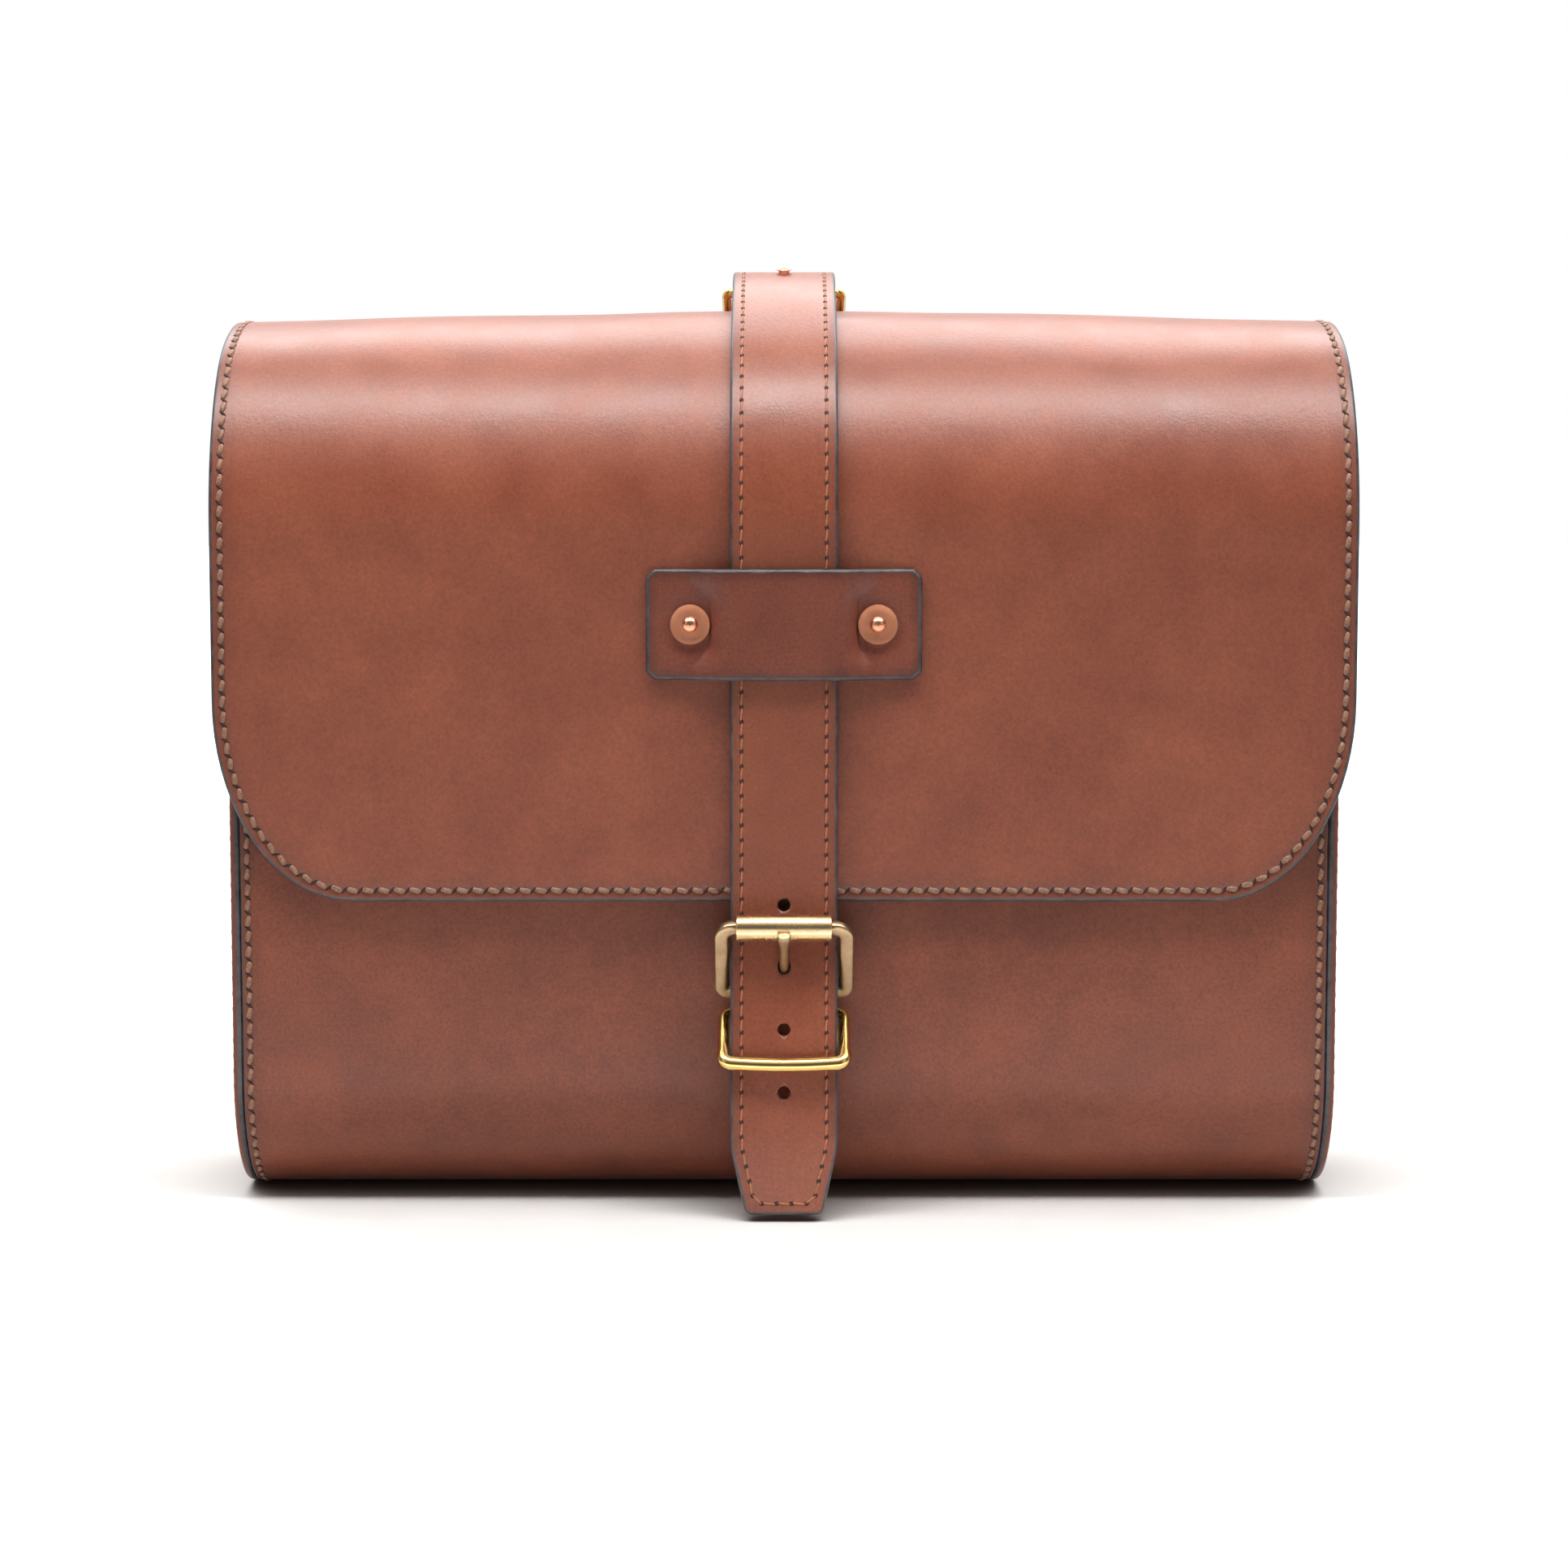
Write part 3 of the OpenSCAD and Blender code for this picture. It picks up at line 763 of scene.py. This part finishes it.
def gusset_outline():
    """Closed (y, z) outline of a gusset, kept a little lower than the CAD gusset under the flap."""
    lower = 1.2 * MM
    top = gusset_hi.z - lower
    r = gusset_r
    points = round_bottom(20)
    points += [(back_y, z) for z in np.linspace(bottom_r, top - gusset_back_r, 30)[1:-1]]
    points += arc((back_y - gusset_back_r, top - gusset_back_r), gusset_back_r, 0, 90, 10)
    points += arc((front_y + r, top - r), r, 90, 180, 26)
    points += [(front_y, z) for z in np.linspace(top - r, bottom_r, 24)[1:-1]]
    kept = without_repeats(points)
    return np.array(kept[:-1] if math.dist(kept[0], kept[-1]) < 1e-6 else kept)


def build_gusset(side):
    outline = gusset_outline()
    centre_z = gusset_hi.z / 2

    def place(y, z, h):
        near_middle = np.clip(1 - (y / back_y) ** 2, 0, 1)
        upright = smoothstep(10 * MM, 70 * MM, z)
        dish = 2.0 * MM * near_middle ** 1.5 * upright * (0.6 + 0.4 * smoothstep(centre_z, gusset_hi.z, z))
        return np.stack([side * (gusset_lo.x + h - dish), y, z], axis=-1)

    stitch_inset = 3.2 * MM
    name = "gusset_" + side_name(side)
    gusset = plate(name + "_leather", outline, edge_profile(gusset_t, 0.9 * MM, 7 * MM, stitch_inset), place,
                   [body_leather, edge_dark, flesh], face_rim=4)
    stand_for(gusset, name, "body")
    seam = outline + stitch_inset * inward_of(outline)
    low = [p for p in seam if p[1] < gusset_hi.z - gusset_r]
    start = max(range(len(low)), key=lambda i: math.dist(low[i], low[i - 1]))
    low = np.array(low[start:] + low[:start])
    points = place(low[:, 0], low[:, 1], gusset_t - 0.3 * MM)
    outward = np.tile([side, 0, 0], (len(points), 1)).astype(float)
    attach(saddle_stitch(name + "_stitching", points, outward), "body")


def build_body():
    rows = rectangle_rows(wrap_hi.x, body_path.length, 150)
    stitch_inset = 2.4 * MM
    wrap = sheet("body_wrap_leather", rows, np.linspace(-1, 1, 61),
                 edge_profile(wrap_t, 0.6 * MM, 8 * MM, stitch_inset),
                 lambda u, v, h: body_place(u, v, h - wrap_t), [body_leather, edge_dark, flesh])
    stand_for(wrap, "body_wrap", "body")
    for side in (-1, 1):
        line = [(side * (wrap_hi.x - stitch_inset), v)
                for v in np.linspace(3 * MM, body_path.length - 3 * MM, 200)]
        row = saddle_stitch("body_stitching_" + side_name(side), *on_surface(body_place, line, -0.3 * MM))
        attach(row, "body")
        build_gusset(side)


# ---- strap
def strap_line():
    """The strap's underside in the side view, from its return under the ring bar to the tip."""
    r = shoulder_r + strap_gap
    y = flap_lo.y - strap_gap
    crest = (8 * MM, ring_front[1] + loop_r)
    off = (crest[0] - shoulder[0], crest[1] - shoulder[1])
    meet_a = math.degrees(math.atan2(off[1], off[0]) + math.acos(r / math.hypot(*off)))
    around = arc(shoulder, r, meet_a, 180, 60)
    lean_top = (y - lean * bend_reach, bend_z - bend_reach)
    tip = (y - lean * (bend_z - tip_z), tip_z)
    top = (ring_front[0], ring_front[1] + loop_r)
    return ([(return_y, ring_front[1] - loop_r)] + arc(ring_front, loop_r, -90, 90, 20)
            + bezier(top, crest, around[0], 24) + around
            + bezier((y, bend_z + bend_reach), (y, bend_z), lean_top, 10) + [tip])


strap_path = Path(strap_line(), -1)


def strap_rows(inset):
    length = strap_path.length
    slope = math.atan2(strap_half - tip_half, taper_len)
    kink = length - taper_len - inset * math.tan(slope / 2)
    rows = [(v, strap_half - inset) for v in np.linspace(inset, kink, 170)]
    round_r = max(2 * MM - inset, 0.3 * MM)
    end_half = tip_half + inset * math.tan(slope) - inset / math.cos(slope)

    def tapered(v):
        return np.interp(v, [kink, length - inset], [strap_half - inset, end_half])

    for share in (0.25, 0.5, 0.75):
        v = kink + (length - inset - round_r - kink) * share
        rows.append((v, tapered(v)))
    for turn in np.radians(np.linspace(0, 90, 7)):
        v = length - inset - round_r * (1 - math.sin(turn))
        rows.append((v, tapered(v) - round_r * (1 - math.cos(turn))))
    return rows


def build_strap():
    columns = np.linspace(-1, 1, 17)
    stitch_inset = 3.4 * MM
    outer = sheet("strap_outer_leather", strap_rows, columns,
                  edge_profile(strap_outer_t, 0.85 * MM, 5.4 * MM, stitch_inset, 0.15 * MM),
                  lambda u, v, h: strap_path.place(u, v, h + strap_lining_t),
                  [strap_leather, edge_dark, flesh])
    lining = sheet("strap_lining_leather", strap_rows, columns,
                   edge_profile(strap_lining_t, 0.5 * MM, 5.4 * MM),
                   strap_path.place, [lining_face, edge_dark, lining_face])
    drill_from, drill_to = -20 * MM, -80 * MM
    for piece in (outer, lining):
        for step in (-1, 0, 1, 2):
            z = prong_hole_z - step * hole_pitch
            cut(piece, drill((0, drill_from, z), (0, drill_to, z), hole_r))
        cut(piece, drill(buckle_bar, buckle_bar + prong_way * 40 * MM, prong_r + prong_hole_gap))
    stand_for(outer, "strap_outer", "flap")
    stand_for(lining, "strap_lining", "flap")
    rows = strap_rows(stitch_inset)
    start = next(i for i, (v, half) in enumerate(rows) if v > stitch_start)
    left = [(-half, v) for v, half in rows[start:-3]]
    across = [(u, rows[-1][0]) for u in np.linspace(-rows[-1][1], rows[-1][1], 12)[1:-1]]
    right = [(half, v) for v, half in reversed(rows[start:-3])]
    seam = on_surface(strap_path.place, left + across + right, strap_lining_t + strap_outer_t - 0.1 * MM)
    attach(fine_stitch("strap_stitching", *seam), "flap")


# ---- retainer
def build_retainer():
    width, height = retainer_hi.x, (retainer_hi.z - retainer_lo.z) / 2
    centre_z = (retainer_hi.z + retainer_lo.z) / 2
    thickness = 2.6 * MM
    clip = 2.6 * MM
    lift = strap_outer_t + strap_lining_t + strap_gap + 0.3 * MM
    rise_x, held_x = strap_half - 0.8 * MM, strap_half + 5.8 * MM
    rivet_x = 27.8 * MM

    def arch(x, v):
        """Height over the flap: the rivets hold the middle down, and the long edges arch more gently."""
        flat_x = held_x + 9 * MM * smoothstep(5 * MM, height, np.abs(v))
        crown = 0.25 * MM * np.cos(np.clip(x / rise_x, -1, 1) * math.pi / 2)
        return lift * (1 - smoothstep(rise_x, flat_x, np.abs(x))) + crown

    def place(u, v, h):
        step = 0.05 * MM
        slope = (arch(u + step, v) - arch(u - step, v)) / (2 * step)
        size = np.sqrt(1 + slope * slope)
        off_rivet = np.hypot(np.abs(u) - rivet_x, v)
        dent = 0.35 * MM * np.exp(-((off_rivet - 6.6 * MM) / (2.0 * MM)) ** 2) * (h > thickness * 0.6)
        rise = arch(u, v) + (h - dent) / size
        return np.stack([u - slope * h / size, flap_lo.y - rise, centre_z + v], axis=-1)

    def rows(inset):
        turn = math.tan(math.radians(22.5))
        z0, z1 = -height + inset, -height + clip + inset * turn
        w0, w1 = width - clip - inset * turn, width - inset
        low = [(z0 + (z1 - z0) * t, w0 + (w1 - w0) * t) for t in np.linspace(0, 1, 5)]
        middle = [(z, w1) for z in np.linspace(z1, -z1, 24)[1:-1]]
        return low + middle + [(-z, w) for z, w in reversed(low)]

    retainer = sheet("retainer_leather", rows, np.linspace(-1, 1, 121),
                     edge_profile(thickness, 1.1 * MM, 4.5 * MM), place, [retainer_leather, edge_dark, flesh])
    stand_for(retainer, "retainer", "flap")


# ---- chapes
def build_front_chape():
    """A strip folded over the buckle bar, with a second loop round the keeper bar."""
    thickness = 2.1 * MM
    half = thickness / 2
    inner_y = front_y - 0.1 * MM - half
    outer_y = inner_y - thickness - 0.05 * MM
    low_z = chape_lo.z
    keeper, bar = keeper_bar.yz, buckle_bar.yz
    keeper_out = (keeper[0] - ring_wire_r - half - 0.1 * MM, keeper[1])
    bar_r = cross_bar_r + half + 0.1 * MM
    line = [(outer_y, low_z), (outer_y, keeper[1] - 12 * MM)]
    line += bezier((outer_y, keeper[1] - 12 * MM), (outer_y, keeper[1] - 5 * MM), keeper_out, 10)
    line += arc(bar, bar_r, 188, 20, 20)
    line += bezier(on_circle(bar, bar_r, 19), (inner_y, bar[1] - 1 * MM), (inner_y, bar[1] - 8 * MM), 8)
    line += [(inner_y, low_z)]
    path = Path(line, 1)
    strip = sheet("front_chape_leather", rectangle_rows(chape_hi.x, path.length, 110), np.linspace(-1, 1, 13),
                  edge_profile(thickness, 0.6 * MM, 4 * MM), lambda u, v, h: path.place(u, v, h - half),
                  [strap_leather, edge_dark, flesh])
    slot_half, slot_low, slot_high = 2.5 * MM, bar[1] - 4.6 * MM, bar[1] + 8 * MM
    cut(strip, box_cutter((-slot_half, bar[0] - 8 * MM, slot_low), (slot_half, bar[0] + 4.4 * MM, slot_high)))
    stand_for(strip, "front_chape", "body")


def build_back_chape():
    """A doubled strip that loops round the rear bar of the top ring and lies down the back."""
    thickness = 1.7 * MM
    half = thickness / 2
    inner_r = fold_r + 0.15 * MM + half
    inner_y = fold[0] + inner_r
    outer_y = inner_y + thickness + 0.1 * MM
    low_z = back_chape_lo.z
    bar = ring_bar.yz
    bar_r = ring_wire_r + half + 0.15 * MM
    line = [(outer_y, low_z), (outer_y, low_z + 22 * MM)]
    line += bezier((outer_y, low_z + 22 * MM), (outer_y, bar[1] - 8 * MM), on_circle(bar, bar_r, -4), 12)
    line += arc(bar, bar_r, -4, 215, 26)
    line += arc(fold, inner_r, 42, 0, 12) + [(inner_y, low_z)]
    path = Path(line, -1)
    strip = sheet("back_chape_leather", rectangle_rows(back_chape_hi.x, path.length, 110),
                  np.linspace(-1, 1, 13), edge_profile(thickness, 0.5 * MM, 4.6 * MM, 3 * MM, 0.12 * MM),
                  lambda u, v, h: path.place(u, v, h - half), [strap_leather, edge_dark, flesh])
    stand_for(strip, "back_chape", "body")
    for side in (-1, 1):
        line = [(side * (back_chape_hi.x - 3 * MM), v) for v in np.linspace(3 * MM, 36 * MM, 60)]
        seam = on_surface(path.place, line, half - 0.08 * MM)
        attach(fine_stitch("back_chape_stitching_" + side_name(side), *seam), "body")


def box_cutter(low, high):
    verts = [(x, y, z) for x in (low[0], high[0]) for y in (low[1], high[1]) for z in (low[2], high[2])]
    faces = [(0, 1, 3, 2), (4, 6, 7, 5), (0, 4, 5, 1), (2, 3, 7, 6), (0, 2, 6, 4), (1, 5, 7, 3)]
    return make_object("cutter", verts, faces, [flesh])


# ---- hardware
def finish_cad(name, material, width):
    """Gives a carried-over CAD node its metal and small rounded edges."""
    obj = frame["nodes"][name]
    obj.data.materials.clear()
    obj.data.materials.append(material)
    weld = obj.modifiers.new("weld", "WELD")
    weld.merge_threshold = 0.002 * MM
    bevel = obj.modifiers.new("bevel", "BEVEL")
    bevel.width = width
    bevel.segments = 3
    bevel.limit_method = "ANGLE"
    bevel.angle_limit = math.radians(40)


def lathe(name, profile, centre, axis, material, sides=64):
    """A closed ring: a closed profile of (along, radius) points turned about an axis through centre."""
    point = about(centre, axis)
    verts, faces = [], []
    size = len(profile)
    ring = np.arange(size)
    for k in range(sides):
        verts += [point(2 * math.pi * k / sides, radius, along) for along, radius in profile]
        faces += band(ring + k * size, ring + (k + 1) % sides * size)
    return make_object(name, verts, faces, [material], sharp=40)


def rounded(points, r, count=4):
    """A closed (a, b) outline with its corners rounded."""
    out = []
    for i, p in enumerate(points):
        p, before, after = Vector(p), Vector(points[i - 1]), Vector(points[(i + 1) % len(points)])
        size = min(r, (before - p).length * 0.45, (after - p).length * 0.45)
        out += bezier(p + (before - p).normalized() * size, p, p + (after - p).normalized() * size, count)
    return out


def tube(name, half, inner, outer, corner, centre, material):
    """A tube across the bag, with rounded ends."""
    section = rounded([(-half, inner), (half, inner), (half, outer), (-half, outer)], corner)
    return lathe(name, section, centre, (1, 0, 0), material)


def rounded_loop(half, low, high, low_r, high_r, count=9):
    """(x, v) points of an upright rounded rectangle, counter-clockwise from its lower right corner."""
    corners = [((half, low), low_r, -90), ((half, high), high_r, 0),
               ((-half, high), high_r, 90), ((-half, low), low_r, 180)]
    out = []
    for (x, v), r, start in corners:
        cx, cv = x - math.copysign(r, x), v + (r if v == low else -r)
        out += arc((cx, cv), r, start, start + 90, count)
    return out


def split_loop(outline, step=1.2 * MM):
    """A closed outline with its long stretches split into steps."""
    loop = []
    for i, p in enumerate(outline):
        q = outline[(i + 1) % len(outline)]
        steps = max(1, int(math.dist(p, q) / step))
        loop += [(p[0] + (q[0] - p[0]) * k / steps, p[1] + (q[1] - p[1]) * k / steps) for k in range(steps)]
    return loop


def in_plane(bar, top):
    """For the plane from one cross bar to another: a function from (x, v) to a 3-D point, and the normal."""
    way = Vector((0, top[0] - bar[0], top[1] - bar[1])).normalized()
    return lambda x, v: Vector((x, bar[0], bar[1])) + way * v, Vector((1, 0, 0)).cross(way)


def build_frame():
    """The cast buckle frame: round bars above and below, flatter rails at the sides."""
    rail_half, opening = 2.15 * MM, 16.5 * MM
    rail_from, rail_to = 14.2 * MM, 15.6 * MM
    bar, top = buckle_bar.yz, roller_bar.yz
    reach = math.dist(bar, top)
    point, normal = in_plane(bar, top)
    loop = split_loop(rounded_loop(opening + rail_half, 0, reach, 2.1 * MM, 3.4 * MM))
    sections = []
    for x, v in loop:
        rail = float(smoothstep(rail_from, rail_to, abs(x)))
        sections.append((2.0 * MM + 0.15 * MM * rail, 1.95 * MM - 0.1 * MM * rail, 2 + 1.4 * rail))
    made = sweep("buckle_frame_cast", [point(x, v) for x, v in loop], sections, normal, brass_frame)
    stand_for(made, "buckle_frame", "buckle")


def build_roller():
    lo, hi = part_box("buckle_roller")
    inner, outer = 2.1 * MM, (hi.z - lo.z) / 2
    roller = tube("buckle_roller_tube", hi.x, inner, outer, 0.5 * MM, roller_bar, brass_roller)
    stand_for(roller, "buckle_roller", "roller")


def build_prong():
    """The prong: a loop round the lower bar and a pin that ends in a flat, slightly wider tip."""
    lo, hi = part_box("buckle_prong")
    hub_inner = 2.08 * MM
    pin_start, past_tip = 2.6 * MM, 0.6 * MM
    tip_y = lo.y + prong_r
    length = (buckle_bar.y - tip_y) / math.sin(prong_tilt) + past_tip
    through = (0, math.cos(prong_tilt), math.sin(prong_tilt))
    centres, sections = [], []
    for share in np.linspace(0, 1, 30):
        along = pin_start + (length - pin_start) * share
        wide = float(smoothstep(0.72, 0.95, share))
        end = 0.35 * MM * float(smoothstep(0.97, 1.0, share))
        centres.append(buckle_bar + prong_way * along - Vector(through) * (0.2 * MM * wide))
        sections.append((prong_r + 0.45 * MM * wide - end, prong_r - 0.05 * MM * wide - end, 2 + wide))
    pin = sweep("buckle_prong_pin", centres, sections, through, brass_frame, closed=False)
    hub = tube("buckle_prong_hub", hi.x, hub_inner, prong_hub_r, 0.8 * MM, buckle_bar, brass_frame)
    stand_for(join("buckle_prong_cast", [pin, hub]), "buckle_prong", "prong")


def build_keeper():
    """The keeper: round wire, with a heavier front bar that bows down in the middle."""
    lo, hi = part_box("keeper_ring")
    wire = ring_wire_r
    half = hi.x - wire
    bar = keeper_bar.yz
    front = (lo.y + wire, lo.z + wire)
    reach = math.dist(bar, front)
    point, normal = in_plane(bar, front)
    centres, sections = [], []
    for x, v in split_loop(rounded_loop(half, 0, reach, 3 * MM, 3 * MM)):
        ahead = float(smoothstep(reach * 0.6, reach, v))
        bow = 0.7 * MM * ahead * max(0.0, 1 - (x / (half - 3 * MM)) ** 2)
        centres.append(point(x, v + bow))
        sections.append((wire + 0.6 * MM * ahead, wire + 0.4 * MM * ahead, 2))
    ring = sweep("keeper_ring_wire", centres, sections, normal, brass_ring)
    stand_for(ring, "keeper_ring", "keeper")


def build_washers(node_name, body):
    """Copper burrs: thin washers with a rounded rim and a shallow turned groove."""
    lo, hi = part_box(node_name)
    outer, inner, thick, rim = (hi.z - lo.z) / 2, 1.72 * MM, 1.0 * MM, 0.2 * MM
    profile = [(0, inner), (0, outer - rim)]
    profile += [(thick * 0.5 + thick * 0.5 * math.sin(a), outer - rim + rim * math.cos(a))
                for a in np.radians(np.linspace(-80, 80, 7))]
    profile += [(thick, outer - 0.35 * MM), (thick * 0.86, outer - 0.6 * MM)]
    profile += [(thick * 0.84, outer - 2.2 * MM), (thick * 0.84, inner + 0.7 * MM), (thick * 0.9, inner)]
    x, height = hi.x - outer, (lo.z + hi.z) / 2
    start, facing = (lo.y, 1) if node_name == "back_chape_burrs" else (hi.y, -1)
    name = node_name + "_turned"
    parts = [lathe("%s_%d" % (name, i), profile, (place, start, height), (0, facing, 0), copper_washer)
             for i, place in enumerate([-x, x] if x > 1 * MM else [0])]
    stand_for(join(name, parts), node_name, body)


def build_hardware():
    for name in ("retainer_rivets", "strap_rivet", "front_chape_rivet", "back_chape_rivets"):
        finish_cad(name, copper_bright, 0.25 * MM)
    finish_cad("top_ring", brass_ring, 0.1 * MM)
    build_frame()
    build_roller()
    build_prong()
    build_keeper()
    build_washers("retainer_burrs", "flap")
    build_washers("front_chape_burr", "body")
    build_washers("back_chape_burrs", "body")


# ---- studio
def softbox(name, place, target, width, height, energy):
    """A rectangular light aimed at target. The camera doesn't see it."""
    data = bpy.data.lights.new(name, "AREA")
    data.shape = "RECTANGLE"
    data.size, data.size_y = width, height
    data.energy = energy
    obj = add_object(name, data)
    obj.location = place
    obj.rotation_euler = (Vector(target) - Vector(place)).to_track_quat("-Z", "Y").to_euler()
    obj.visible_camera = False


def build_world():
    """White to the camera. As light it is dim in front and bright behind and above, like a lit backdrop."""
    world = bpy.data.worlds.new("studio")
    world.use_nodes = True
    bpy.context.scene.world = world
    tree = world.node_tree
    tree.nodes.clear()
    way = node(tree, "ShaderNodeTexCoord").outputs["Generated"]
    split = node(tree, "ShaderNodeSeparateXYZ", {"Vector": way}).outputs
    behind = remap(tree, split["Y"], -0.2, 0.6, 0.12, 1.1)
    above = remap(tree, split["Z"], 0.55, 0.95, 0.0, 1.0)
    strength = maths(tree, "ADD", behind, above)
    seen = node(tree, "ShaderNodeBackground", {"Color": (1, 1, 1, 1), "Strength": 1.0})
    lit = node(tree, "ShaderNodeBackground", {"Color": (1.0, 0.985, 0.975, 1), "Strength": strength})
    path = node(tree, "ShaderNodeLightPath")
    mix = node(tree, "ShaderNodeMixShader",
               {0: path.outputs["Is Camera Ray"], 1: lit.outputs[0], 2: seen.outputs[0]})
    node(tree, "ShaderNodeOutputWorld", {"Surface": mix.outputs[0]})


def build_floor():
    """A pale floor. The camera sees it fade to plain white far away and, close under the bag, darken with a
    painted contact shadow;
    for other rays it is a plain, paler grey that throws light back up."""
    material, tree, shader = new_material("studio_floor")
    where = position(tree)
    path = node(tree, "ShaderNodeLightPath")
    grain = noise(tree, where, 40, 2, 0.5)
    pale = mix_colour(tree, grain, (200, 198, 196), (208, 206, 204))
    # Painted contact shadow: the floor that the camera sees goes dark brown-grey where the bag closes over
    # it.
    painted_shadow_openness = node(tree, "ShaderNodeAmbientOcclusion", {"Distance": 60 * MM}, samples=8).outputs["AO"]
    pale = mix_colour(tree, remap(tree, painted_shadow_openness, 0.15, 0.6), (90, 78, 72), pale)
    colour = mix_colour(tree, path.outputs["Is Camera Ray"], (215, 212, 210), pale)
    away = node(tree, "ShaderNodeVectorMath", {0: where}, operation="LENGTH").outputs["Value"]
    far = remap(tree, away, 0.35, 0.9)
    seen_far = maths(tree, "MULTIPLY", far, path.outputs["Is Camera Ray"])
    wire(tree, shader, {"Base Color": colour, "Roughness": 0.9, "Specular IOR Level": 0.1,
                        "Emission Color": (1, 1, 1, 1), "Emission Strength": seen_far})
    half = 8.0
    corners = [(half * x, half * y, 0) for x, y in ((-1, -1), (1, -1), (1, 1), (-1, 1))]
    floor = make_object("studio_floor", corners, [(0, 1, 2, 3)], [material])
    floor.location.z = -0.3 * MM


def build_studio():
    scene = bpy.context.scene
    scene.view_settings.view_transform = "Standard"
    build_world()
    build_floor()
    softbox("softbox_over_front", (0, -0.236, 0.764), (0, -0.02, 0.24), 1.2, 0.156, 10.0)
    softbox("softbox_over_back", (0, 0.6, 1.0), (0, 0.0, 0.26), 1.7, 0.4, 11)
    for side in (-1, 1):
        softbox("softbox_" + side_name(side), (side * 1.5, -1.2, 0.8), (0, 0, 0.12), 0.8, 1.0, 1.5)
    softbox("softbox_low", (0, -0.15, 0.004), (0, -0.06, 0.03), 0.5, 0.05, 0.15)

    distance, eye_height, look_down = 1.0402, 0.2238, 5.514
    data = bpy.data.cameras.new("camera")
    data.sensor_width = 36
    data.lens = 76.5
    camera = add_object("camera", data)
    camera.location = (0, -distance, eye_height)
    camera.rotation_euler = (math.radians(90 - look_down), 0, 0)
    scene.camera = camera


build_flap()
build_body()
build_strap()
build_retainer()
build_front_chape()
build_back_chape()
build_hardware()
build_studio()
